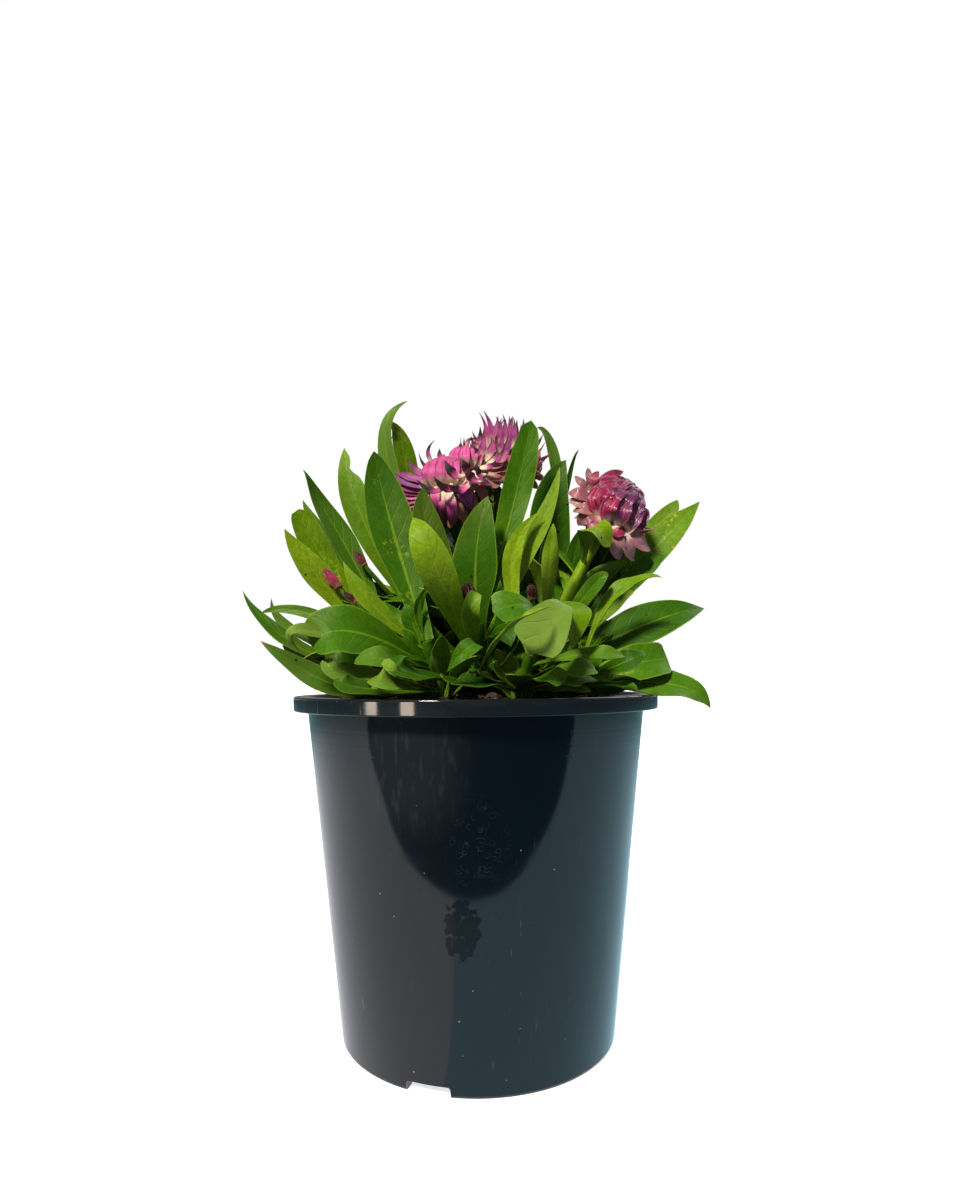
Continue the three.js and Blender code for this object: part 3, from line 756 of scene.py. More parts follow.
@dataclass(frozen=True)
class BallForm:
    """A ball of radius 1, which cores are squashed from."""

    divisions: int = 3

    def model(self) -> Flat:
        """Models the ball.

        Returns:
            The master.
        """
        ball = start_primitive(bpy.ops.mesh.primitive_ico_sphere_add, subdivisions=self.divisions, radius=1)
        bpy.ops.object.mode_set(mode="OBJECT")
        return Flat.taken_from(ball)


@dataclass(frozen=True)
class Look:
    """What a blade carries for its finish: the four parts depend on the finish."""

    first: float = 0.4
    second: float = 0.0
    third: float = 0.0
    fourth: float = 0.0
    turned: bool = False


def finish_mesh(made: Object, material: Material, smooth: float) -> None:
    """Gives a modelled object its material, and smooth faces up to an angle in degrees.

    Args:
        made: The object.
        material: Its finish.
        smooth: The angle in degrees past which edges stay sharp.
    """
    made.data.materials.clear()
    made.data.materials.append(material)
    bpy.ops.object.select_all(action="DESELECT")
    made.select_set(True)
    bpy.context.view_layer.objects.active = made
    bpy.ops.object.shade_smooth_by_angle(angle=math.radians(smooth))


@dataclass
class Pieces:
    """Bent copies of the flat masters, gathered into one object."""

    points: list[Array] = field(default_factory=list)
    corners: list[Array] = field(default_factory=list)
    sizes: list[Array] = field(default_factory=list)
    flats: list[Array] = field(default_factory=list)
    looks: list[Array] = field(default_factory=list)
    unders: list[Array] = field(default_factory=list)
    count: int = 0

    def add(self, flat: Flat, points: Array, look: Look, under: Array | float = 0.0) -> None:
        """Adds one copy.

        Args:
            flat: The master that it is a copy of.
            points: Its points in millimetres.
            look: What its finish reads.
            under: 1 where a point is on the under face.
        """
        number = len(points)
        self.points.append(points * MM)
        self.corners.append(flat.corners + self.count)
        self.sizes.append(flat.sizes)
        self.flats.append(flat.flat)
        parts = (look.first, look.second, look.third, look.fourth)
        self.looks.append(np.tile(parts, (number, 1)))
        lower = np.broadcast_to(np.asarray(under, float), (number,))
        self.unders.append(1 - lower if look.turned else lower)
        self.count += number

    def build(self, name: str, material: Material, smooth: float = 60) -> Object:
        """The object, with its flat map, its looks and edges kept sharp past an angle in degrees.

        Args:
            name: The object's name.
            material: Its finish.
            smooth: The angle in degrees past which edges stay sharp.

        Returns:
            The object, with its flat map and its looks.
        """
        mesh = bpy.data.meshes.new(name)
        corners, sizes = np.concatenate(self.corners), np.concatenate(self.sizes)
        mesh.vertices.add(self.count)
        mesh.loops.add(len(corners))
        mesh.polygons.add(len(sizes))
        mesh.vertices.foreach_set("co", np.concatenate(self.points).ravel())
        mesh.loops.foreach_set("vertex_index", corners.astype(np.int32))
        mesh.polygons.foreach_set("loop_start", (np.cumsum(sizes) - sizes).astype(np.int32))
        mesh.polygons.foreach_set("use_smooth", np.ones(len(sizes), bool))
        mesh.uv_layers.new(name=BLADE_MAP).uv.foreach_set("vector", np.concatenate(self.flats).ravel())
        look = mesh.attributes.new(LOOK, "FLOAT_COLOR", "POINT")
        look.data.foreach_set("color", np.concatenate(self.looks).ravel())
        under = mesh.attributes.new(UNDER, "FLOAT", "POINT")
        under.data.foreach_set("value", np.concatenate(self.unders))
        mesh.update()
        mesh.validate()
        made = bpy.data.objects.new(name, mesh)
        bpy.context.scene.collection.objects.link(made)
        finish_mesh(made, material, smooth)
        return made


@dataclass(frozen=True)
class Path:
    """A curve from its root through its middle, near half way, to its tip."""

    root: Array
    middle: Array
    tip: Array

    def control(self) -> Array:
        """The control point that makes the curve pass the middle half way."""
        return 2 * self.middle - (self.root + self.tip) / 2

    def at(self, along: Array) -> Array:
        """The places at shares along it."""
        t = along[..., None]
        return (1 - t) ** 2 * self.root + 2 * t * (1 - t) * self.control() + t * t * self.tip

    def ahead(self, along: Array) -> Array:
        """The directions at shares along it."""
        t = along[..., None]
        return unit((1 - t) * (self.control() - self.root) + t * (self.tip - self.control()))

    def length(self) -> float:
        """How long it is."""
        places = self.at(np.linspace(0, 1, 12))
        return float(np.linalg.norm(np.diff(places, axis=0), axis=1).sum())


@dataclass(frozen=True)
class Bite:
    """A piece missing from a blade's side: where along it, how far and how deep."""

    side: Side
    along: float
    span: float
    depth: float


@dataclass(frozen=True)
class Bend:
    """How a blade is bent: its width, thickness, fold and livelier details.

    The waves are how high they stand, how many and where they start. The hook is how far
    the tip curls over, as a share of the length, and the twist is in degrees.
    """

    width: float
    thickness: float
    fold: float
    wave: float = 0.0
    waves: float = 2.0
    phase: float = 0.0
    hook: float = 0.0
    twist: float = 0.0
    bites: tuple[Bite, ...] = ()

    def bent(self, flat: Flat, path: Path, face: Array) -> tuple[Array, Array]:
        """Bends a flat blade along a path.

        Args:
            flat: The master.
            path: The curve that its midrib follows.
            face: The way that its upper face looks.

        Returns:
            The points in millimetres, and 1 for each on the under face.
        """
        x, y, z = flat.points.T
        along = np.clip((y + 1) / 2, 0, 1)
        ahead = path.ahead(along)
        up = unit(face - (ahead @ face)[:, None] * ahead)
        side = np.cross(ahead, up)
        turn = np.radians(self.twist) * along[:, None] ** 1.5
        side, up = np.cos(turn) * side + np.sin(turn) * up, np.cos(turn) * up - np.sin(turn) * side
        for bite in self.bites:
            gone = bite.depth * np.exp(-(((along - bite.along) / bite.span) ** 2))
            x = np.where(x * bite.side.value > 0, x * (1 - gone), x)
        offset = x * self.width / 2
        soft = 0.12 * self.width
        lift = self.fold * (np.sqrt(offset**2 + soft**2) - soft)
        ripple = np.sin(math.tau * (self.waves * along + self.phase) + 1.3 * np.sign(x))
        lift = lift + self.wave * x * x * ripple * smooth_step(0.1, 0.5, along)
        level = z / BladeForm.SHEET
        taper = (1 - 0.5 * np.clip(np.abs(x), 0, 1) ** 2) * (1 - 0.6 * along**5) * (1.25 - 0.4 * along)
        curl = self.hook * path.length() * smooth_step(0.62, 1.0, along) ** 2
        height = lift + level * self.thickness / 2 * taper + curl
        points = path.at(along) + side * offset[:, None] + up * height[:, None]
        return points, (z < 0).astype(float)


def rod_points(flat: Flat, path: Path, radius: Callable[[Array], Array], ridges: int = 0) -> Array:
    """Bends an upright rod along a path.

    Args:
        flat: The rod's master.
        path: The curve that it follows.
        radius: Its radius at shares along it.
        ridges: How many ridges run along it.

    Returns:
        The points in millimetres.
    """
    x, y, z = flat.points.T
    along = np.clip((z + 1) / 2, 0, 1)
    ahead = path.ahead(along)
    face = np.array([0.0, -1.0, 0.0])
    up = unit(face - (ahead @ face)[:, None] * ahead)
    side = np.cross(ahead, up)
    size = radius(along) * (1 + 0.045 * np.cos(ridges * np.arctan2(y, x)) * (ridges > 0))
    return path.at(along) + (up * x[:, None] + side * y[:, None]) * size[:, None]


class Masters:
    """The flat masters, each modelled when it is first asked for."""

    def __init__(self) -> None:
        """Starts with none modelled."""
        self.made: dict[object, Flat] = {}

    def get(self, form: object) -> Flat:
        """The master of a blade, rod or ball form.

        Args:
            form: The form to model.

        Returns:
            The master.
        """
        if form not in self.made:
            self.made[form] = (form.value if isinstance(form, Form) else form).model()
        return self.made[form]


def dress(made: Object, slot: str, *nodes: str) -> Object:
    """Makes a piece ride on the body, and stand for its nodes.

    Args:
        made: The piece.
        slot: The slot of its material; not used.
        nodes: The solids that it replaces.

    Returns:
        The piece.
    """
    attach(made, "root")
    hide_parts(*nodes)
    return made


# The stage


@dataclass
class Studio:
    """The camera, a white floor and soft light.

    The camera is given as a fit to the photo: its place and its tilts, its focal length
    and the point that it looks straight at, in pixels of a 960 by 1200 frame.
    """

    place: Triple = (0.0, -290.0, 140.1)
    pitch: float = 3.0
    roll: float = -0.51
    focal: float = 733.0
    centre: Pair = (475.7, 715.1)
    width: int = 960
    height: int = 1200
    sensor: float = 36.0
    backdrop: float = 1.02
    ambient: float = 0.18
    mirrored: float = 0.22
    card: tuple[Pair, ...] = (
        (-1.6, -0.62), (-0.47, -0.188), (-0.3, -0.182), (-0.2, -0.183), (-0.1, -0.189), (0.0, -0.192),
        (0.1, -0.203), (0.18, -0.211), (0.26, -0.2175), (0.34, -0.228), (0.475, -0.262), (1.6, -0.8),
    )
    card_depth: float = -1.6
    seam: float = -104.0
    warm: Colour = (1.08, 1.1, 1.18, 1)
    cool: Colour = (0.56, 0.9, 1.06, 1)
    far: Colour = (0.16, 0.34, 0.38, 1)
    windows: tuple[Pair, ...] = ((-151.0, 7.0), (-129.0, 8.0))

    def build(self) -> None:
        """Sets up the camera, the floor, the card and the lights."""
        scene = bpy.context.scene
        scene.view_settings.view_transform = "Standard"
        self.add_camera()
        self.add_floor()
        self.add_cards()
        self.add_world()
        self.add_light("key", (-0.5, -0.74, 0.9), 10, 4.4, (1.0, 0.96, 0.82))
        self.add_light("fill", (0.7, 0.6, 0.8), 40, 1.1, (0.95, 0.97, 1.0))

    def add_camera(self) -> None:
        """Adds the camera."""
        data = bpy.data.cameras.new("camera")
        data.sensor_width = self.sensor
        data.lens = self.focal * self.sensor / self.height
        data.shift_x = (self.width / 2 - self.centre[0]) / self.height
        data.shift_y = (self.centre[1] - self.height / 2) / self.height
        data.clip_start = 0.01
        camera = bpy.data.objects.new("camera", data)
        camera.location = Vector(self.place) * MM
        level = Euler((math.radians(90 - self.pitch), 0, 0)).to_quaternion()
        turn = Quaternion((0, 0, 1), math.radians(self.roll))
        camera.rotation_euler = (level @ turn).to_euler()
        bpy.context.scene.collection.objects.link(camera)
        bpy.context.scene.camera = camera

    def point(self, across: float, down: float, depth: float) -> Array:
        """The place in millimetres that shows at a pixel, in the plane y = depth.

        Args:
            across: The pixel's column.
            down: The pixel's row.
            depth: The plane's y in millimetres.

        Returns:
            The place.
        """
        turn, tilt = math.radians(-self.roll), math.radians(self.pitch)
        right, low = across - self.centre[0], down - self.centre[1]
        u = math.cos(turn) * right - math.sin(turn) * low
        w = math.sin(turn) * right + math.cos(turn) * low
        dy, slope = depth - self.place[1], -w / self.focal
        dz = dy * (slope * math.cos(tilt) - math.sin(tilt)) / (math.cos(tilt) + slope * math.sin(tilt))
        ahead = dy * math.cos(tilt) - dz * math.sin(tilt)
        return np.array([u * ahead / self.focal, depth, self.place[2] + dz])

    def add_floor(self) -> None:
        """Adds the floor."""
        bpy.ops.mesh.primitive_plane_add(size=60, location=(0, 0, 0))
        floor = bpy.context.object
        floor.name = "floor"
        floor.data.materials.append(StageFinish("white_floor", (0.9, 0.9, 0.9, 1), 0.82).build())
        floor.visible_diffuse = False

    def add_card(self, name: str, corners: list[Triple], colour: Colour, far: Colour) -> None:
        """Adds a card that shows only where the glossy pot mirrors it.

        Args:
            name: The card's name.
            corners: Its corners, in metres.
            colour: How it glows near the pot.
            far: How it glows far away.
        """
        mesh = bpy.data.meshes.new(name)
        mesh.from_pydata(corners, [], [tuple(range(len(corners)))])
        mesh.materials.append(CardFinish(name, colour, far).build())
        card = bpy.data.objects.new(name, mesh)
        bpy.context.scene.collection.objects.link(card)
        card.visible_camera = False
        card.visible_diffuse = False
        card.visible_shadow = False
        card.visible_transmission = False

    def add_cards(self) -> None:
        """Adds what the pot mirrors: a warm and a cool floor, a dark shape and two windows."""
        edge = np.linspace(self.card[0][0], self.card[-1][0], 160)
        dark = [(x, y, 0.002) for x, y in zip(edge, through(self.card, edge))]
        dark += [(edge[-1], self.card_depth, 0.002), (edge[0], self.card_depth, 0.002)]
        self.add_card("dark_card", dark, (0.005, 0.05, 0.12, 1), (0.005, 0.05, 0.12, 1))
        near, far = 0.0543, 9.0
        seam = math.radians(self.seam)
        for name, end, colour in (("cool_card", 90.0, self.cool), ("warm_card", -270.0, self.warm)):
            angles = [between(seam, math.radians(end), i / 24) for i in range(25)]
            inner = [(near * math.cos(a), near * math.sin(a), 0.001) for a in angles]
            outer = [(far * math.cos(a), far * math.sin(a), 0.001) for a in reversed(angles)]
            self.add_card(name, inner + outer, colour, self.far)
        for number, (bearing, width) in enumerate(self.windows):
            a, half = math.radians(bearing), math.radians(width / 2)
            sides = [(math.cos(a - half), math.sin(a - half)), (math.cos(a + half), math.sin(a + half))]
            low, high = 0.06, 0.17
            corners = [(*sides[0], low), (*sides[1], low), (*sides[1], high), (*sides[0], high)]
            self.add_card(f"window_{number + 1}", corners, (14, 11.5, 9.5, 1), (14, 11.5, 9.5, 1))

    def add_world(self) -> None:
        """Adds the white backdrop, which lights the plant less than it shows."""
        world = bpy.data.worlds.new("white")
        world.use_nodes = True
        tree = world.node_tree
        rays = tree.nodes.new("ShaderNodeLightPath").outputs
        mirrored = tree.nodes.new("ShaderNodeMix")
        mirrored.inputs[2].default_value = self.ambient
        mirrored.inputs[3].default_value = self.mirrored
        tree.links.new(rays["Is Glossy Ray"], mirrored.inputs[0])
        seen = tree.nodes.new("ShaderNodeMix")
        seen.inputs[3].default_value = self.backdrop
        tree.links.new(rays["Is Camera Ray"], seen.inputs[0])
        tree.links.new(mirrored.outputs[0], seen.inputs[2])
        background = tree.nodes["Background"]
        background.inputs[0].default_value = (1, 1, 1, 1)
        tree.links.new(seen.outputs[0], background.inputs[1])
        bpy.context.scene.world = world

    def add_light(self, name: str, place: Triple, softness: float, power: float, colour: Triple) -> None:
        """Adds an even light from a direction, as wide as its softness in degrees.

        Args:
            name: The light's name.
            place: Where it comes from.
            softness: Its width in degrees.
            power: Its strength.
            colour: Its colour.
        """
        data = bpy.data.lights.new(name, "SUN")
        data.angle = math.radians(softness)
        data.energy = power
        data.color = colour
        light = bpy.data.objects.new(name, data)
        light.location = place
        light.rotation_euler = Vector(place).to_track_quat("Z", "Y").to_euler()
        bpy.context.scene.collection.objects.link(light)


# Pot and potting mix


def arc(
    centre: Pair, radius: float, start: float, end: float, steps: int = 4,
) -> list[Pair]:
    """Points of a rounded corner in a profile, by its angles in degrees."""
    angles = [math.radians(between(start, end, i / steps)) for i in range(steps + 1)]
    return [(centre[0] + radius * math.cos(a), centre[1] + radius * math.sin(a)) for a in angles]


def turned(name: str, profile: list[Pair], sides: int) -> Object:
    """A turned shell, drawn ring by ring through a profile that starts and ends as a disc.

    Args:
        name: The object's name.
        profile: Pairs of radius and height in millimetres.
        sides: How many sides its rings have.

    Returns:
        The object, in object mode.
    """
    radius, height = profile[0]
    made = start_primitive(bpy.ops.mesh.primitive_circle_add, vertices=sides, radius=radius * MM)
    made.name = name
    bpy.ops.transform.translate(value=(0, 0, height * MM))
    bpy.ops.mesh.select_mode(type="EDGE")
    bpy.ops.mesh.select_all(action="SELECT")
    for next_radius, next_height in profile[1:]:
        step = (0, 0, (next_height - height) * MM)
        bpy.ops.mesh.extrude_region_move(TRANSFORM_OT_translate={"value": step})
        share = next_radius / radius
        bpy.ops.transform.resize(value=(share, share, 1))
        radius, height = next_radius, next_height
    bpy.ops.mesh.edge_face_add()
    first = profile[0]
    select_where(made, lambda place: is_on_ring(place, *first))
    bpy.ops.mesh.edge_face_add()
    bpy.ops.mesh.select_all(action="SELECT")
    bpy.ops.mesh.normals_make_consistent(inside=False)
    bpy.ops.object.mode_set(mode="OBJECT")
    return made


def is_on_ring(place: Vector, radius: float, height: float) -> bool:
    """Whether a place in metres is on a ring given in millimetres."""
    return abs(place.z - height * MM) < 1e-6 and abs(math.hypot(place.x, place.y) - radius * MM) < 1e-6


@dataclass
class Pot:
    """The moulded pot: rolled rim with a skirt, tapering wall, notched foot and drain holes."""

    rim_radius: float = 70.0
    height: float = 133.3
    rim_depth: float = 5.4
    rim_lip: float = 1.2
    rim_round: float = 0.7
    neck_radius: float = 65.1
    foot_radius: float = 54.1
    wall: float = 1.2
    foot_ring: float = 5.0
    foot_round: float = 0.8
    plate_underside: float = 4.2
    plate: float = 1.2
    hub: float = 6.0
    notch: Pair = (16.0, 3.8)
    first_notch: float = 251.4
    notches: int = 3
    drain_holes: int = 6
    drain: Pair = (34.0, 4.0)
    sides: int = 160

    def outer_radius(self, height: float) -> float:
        """The outer radius of the wall at a height."""
        low, high = self.foot_round, self.height - 2 * self.rim_round
        return between(self.foot_radius, self.neck_radius, (height - low) / (high - low))

    def inner_radius(self, height: float) -> float:
        """The inner radius of the wall at a height.

        Args:
            height: The height in millimetres.

        Returns:
            The radius there.
        """
        low = self.plate_underside + self.plate
        share = (height - low) / (self.height - self.rim_round - low)
        return between(self.foot_radius, self.neck_radius, share) - self.wall

    def profile(self) -> list[Pair]:
        """The turned profile, from the middle of the underside to the middle of the plate.

        Returns:
            Pairs of radius and height.
        """
        foot, edge = self.foot_radius, self.foot_round
        skirt_bottom, soft = self.height - self.rim_depth, 0.35
        lip, inner = self.rim_radius - self.rim_lip, self.neck_radius - self.wall
        flange, top = self.height - 2 * self.rim_round, self.height - self.rim_round
        points = [(self.hub, self.plate_underside), (foot - self.foot_ring - 1, self.plate_underside)]
        points += [(foot - self.foot_ring, 0.3), (foot - self.foot_ring + 0.3, 0.0)]
        points += arc((foot - edge, edge), edge, -90, 0)
        for height in (1.0, 1.6, 20.0, 45.0, 70.0, 95.0, 115.0):
            points.append((self.outer_radius(height), height))
        points += [(self.neck_radius, flange - 0.3), (self.neck_radius, flange), (lip, flange)]
        points += [(lip, flange - 0.3), (lip, skirt_bottom + soft + 0.2)]
        points += arc((lip + soft, skirt_bottom + soft), soft, 180, 270)
        points += arc((self.rim_radius - soft, skirt_bottom + soft), soft, 270, 360)
        points += [(self.rim_radius, skirt_bottom + soft + 0.15), (self.rim_radius, top - 0.15)]
        points += arc((self.rim_radius - self.rim_round, top), self.rim_round, 0, 90)
        points.append((self.rim_radius - self.rim_round - 0.2, self.height))
        points.append((inner + self.rim_round + 0.2, self.height))
        points += arc((inner + self.rim_round, top), self.rim_round, 90, 180)
        points += [(self.inner_radius(60), 60), (foot - self.wall, self.plate_underside + self.plate)]
        return points + [(self.hub, self.plate_underside + self.plate)]

    def cut(self, pot: Object, cutter: Object) -> None:
        """Cuts the cutter out of the pot."""
        add_modifier(pot, "BOOLEAN", operation="DIFFERENCE", solver="EXACT", object=cutter)
        bpy.data.objects.remove(cutter)

    def build(self) -> Object:
        """Builds and dresses the pot.

        Returns:
            The pot.
        """
        pot = turned("pot_shell", self.profile(), self.sides)
        width, height = self.notch
        for i in range(self.notches):
            angle = math.radians(self.first_notch + 360 / self.notches * i)
            reach = (self.foot_radius - self.foot_ring / 2) * MM
            place = (reach * math.cos(angle), reach * math.sin(angle), 0)
            size = (3 * self.foot_ring * MM, width * MM, 2 * height * MM)
            bpy.ops.mesh.primitive_cube_add(size=1, location=place, rotation=(0, 0, angle), scale=size)
            cutter = bpy.context.object
            add_modifier(cutter, "BEVEL", width=1.1 * MM, segments=3)
            self.cut(pot, cutter)
        circle, radius = self.drain
        for i in range(self.drain_holes):
            angle = math.tau / self.drain_holes * i
            place = (circle * MM * math.cos(angle), circle * MM * math.sin(angle), self.plate_underside * MM)
            bpy.ops.mesh.primitive_cylinder_add(vertices=32, radius=radius * MM, depth=8 * MM, location=place)
            self.cut(pot, bpy.context.object)
        finish_mesh(pot, PotFinish().build(), 35)
        return dress(pot, "pot", "pot")


@dataclass
class PottingMix:
    """Bark and peat that fills the pot, a low rough mound with chips of bark on it."""

    pot: Pot
    edge_height: float = 129.0
    mound_height: float = 4.5
    roughness: float = 0.5
    clearance: float = 0.5
    rings: int = 30
    sides: int = 144
    grain: float = 0.35
    chips: int = 520
    spread: float = 61.5
    seed: int = 5

    def height(self, x: Array, y: Array) -> Array:
        """The mound's height.

        Args:
            x: Places to the right.
            y: Places to the back.

        Returns:
            The heights there.
        """
        share = np.hypot(x, y) / (self.pot.neck_radius - self.pot.wall)
        lumps = np.sin(0.31 * x + 1) * np.cos(0.27 * y) + np.sin(0.17 * x - 0.23 * y)
        return self.edge_height + self.mound_height * (1 - share**2) + self.roughness * lumps

    def model_mound(self) -> Flat:
        """Models the mound, from its centre to its floor, and roughens its top.

        Returns:
            The mound, in millimetres.
        """
        floor = self.pot.plate_underside + self.pot.plate + 0.3
        rim = self.pot.inner_radius(self.edge_height - 2) - self.clearance
        radii = [rim * (i + 1) / self.rings for i in range(self.rings)]
        level = 200.0
        profile = [(radius, level) for radius in radii]
        profile.append((self.pot.inner_radius(floor) - self.clearance, floor))
        mound = turned("mound", profile, self.sides)
        flat = Flat.taken_from(mound)
        points = flat.points / MM
        top = points[:, 2] > level - 1
        x, y = points[top, 0], points[top, 1]
        rough = np.sin(1.7 * x + 2 * np.sin(0.9 * y)) * np.cos(1.9 * y + 1.5 * np.sin(1.1 * x))
        rough += 0.6 * np.sin(3.3 * x - 2.1 * y) * np.cos(2.9 * y + 1.3 * x)
        points[top, 2] = self.height(x, y) + self.grain * rough
        flat.points = points
        return flat

    def model_chip(self) -> Flat:
        """Models a flake of bark, from a cube that is cut, worn and chamfered.

        Returns:
            The flake, about 2 in size.
        """
        chip = start_primitive(bpy.ops.mesh.primitive_cube_add, size=2)
        bpy.ops.mesh.subdivide(number_cuts=2)
        select_where(chip, lambda place: place.x > 0.9)
        bpy.ops.transform.resize(value=(1, 0.7, 0.5))
        bpy.ops.transform.translate(value=(0, 0.25, -0.1))
        select_where(chip, lambda place: place.x < -0.9)
        bpy.ops.transform.resize(value=(1, 0.55, 0.8))
        bpy.ops.transform.translate(value=(0.1, -0.2, 0.15))
        select_where(chip, lambda place: abs(place.x) < 0.5 and place.z > 0.9)
        bpy.ops.transform.translate(value=(0, 0, 0.25))
        bpy.ops.object.mode_set(mode="OBJECT")
        add_modifier(chip, "BEVEL", width=0.1, segments=1)
        return Flat.taken_from(chip)

    def build(self) -> Object:
        """Builds and dresses the mix.

        Returns:
            The mix.
        """
        draw = Random(self.seed)
        pieces = Pieces()
        mound = self.model_mound()
        pieces.add(mound, mound.points, Look(0.25, 0, 0.1, 0))
        chip = self.model_chip()
        for _ in range(self.chips):
            angle, radius = draw.uniform(0, math.tau), self.spread * math.sqrt(draw.random())
            x, y = radius * math.cos(angle), radius * math.sin(angle)
            large = draw.random() ** 3
            size = np.array([between(1.2, 4.2, large), between(0.8, 2.4, large), between(0.4, 1.1, large)])
            size *= (draw.uniform(0.8, 1.2), draw.uniform(0.7, 1.3), draw.uniform(0.7, 1.3))
            turn = Euler((draw.uniform(-0.6, 0.6), draw.uniform(-0.5, 0.5), draw.uniform(0, math.tau)))
            turned_points = (chip.points * size) @ np.array(turn.to_matrix()).T
            place = np.array([x, y, float(self.height(np.array(x), np.array(y))) + self.grain])
            reach = np.hypot(*(turned_points + place)[:, :2].T).max()
            if reach > self.pot.inner_radius(self.edge_height) - 0.4:
                continue
            look = Look(draw.uniform(0.2, 1.0), 0, draw.random() ** 4, draw.random())
            pieces.add(chip, turned_points + place, look)
        made = pieces.build("bark_mix", MixFinish().build(), 40)
        return dress(made, "potting_mix", "potting_mix")


# Stems and leaves


def facing(bearing: float, rise: float) -> Array:
    """A direction from its bearing and rise in degrees: 0, 0 looks to the front."""
    b, r = math.radians(bearing), math.radians(rise)
    return np.array([math.sin(b) * math.cos(r), -math.cos(b) * math.cos(r), math.sin(r)])


def tree_of(places: list[Vector]) -> kdtree.KDTree:
    """A tree that finds the nearest of the places.

    Args:
        places: The places.

    Returns:
        The tree.
    """
    tree = kdtree.KDTree(len(places))
    for index, place in enumerate(places):
        tree.insert(place, index)
    tree.balance()
    return tree


@dataclass(frozen=True)
class Stem:
    """A stem: its foot on the ground plan, the bend that pulls it, its top and its finish."""

    foot: Pair
    bend: Triple
    top: Triple
    # Stems are dark green: painted shade under the leaves
    look: Look = Look(0.25, 0.1)

    SOIL = 134.0

    def path(self) -> Path:
        """The curve from the soil to the top."""
        foot, bend, top = (np.array(p, float) for p in ((*self.foot, self.SOIL), self.bend, self.top))
        return Path(foot, (foot + 2 * bend + top) / 4, top)

    def at(self, up: float) -> Array:
        """The place at a share of the way up."""
        return self.path().at(np.array(up))


STEMS = {
    "far_left": Stem((-27, -9), (-29, -12, 142), (-31, -14, 154)),
    "left": Stem((-17, 5), (-19, 5, 146), (-22, 4, 162)),
    "front_left": Stem((-13, -24), (-15, -27, 142), (-17, -31, 153)),
    "tall_left": Stem((-6, 7), (-5, 9, 172), (-7, 3, 214)),
    "centre": Stem((1, -13), (1, -16, 146), (2, -20, 160)),
    "front": Stem((15, -31), (17, -36, 140), (19, -42, 148)),
    "right": Stem((28, 6), (33, 6, 146), (38, 5, 160)),
    # The tall right stem's bright olive is painted light, where it shows lit
    "tall_right": Stem((19, -10), (29, -10, 160), (50, -7.4, 198), Look(0.92, 0.1)),
    "far_right": Stem((31, -18), (36, -21, 138), (40, -24, 148)),
    "back_left": Stem((-20, 27), (-24, 31, 146), (-28, 34, 160)),
    "back": Stem((3, 30), (3, 35, 146), (3, 38, 162)),
    "back_right": Stem((26, 27), (30, 31, 146), (34, 34, 160)),
}


@dataclass(frozen=True)
class Leaf:
    """A leaf that shows from the front, with its finish and its livelier details."""

    name: str
    stem: str
    up: float
    tip: Triple
    middle: Triple
    width: float
    bearing: float
    rise: float
    look: Look = Look()
    form: Form = Form.LEAF
    hook: float = 0.0
    twist: float = 0.0
    wave: float = 0.5
    bites: tuple[Bite, ...] = ()
    fold: float = 0.22
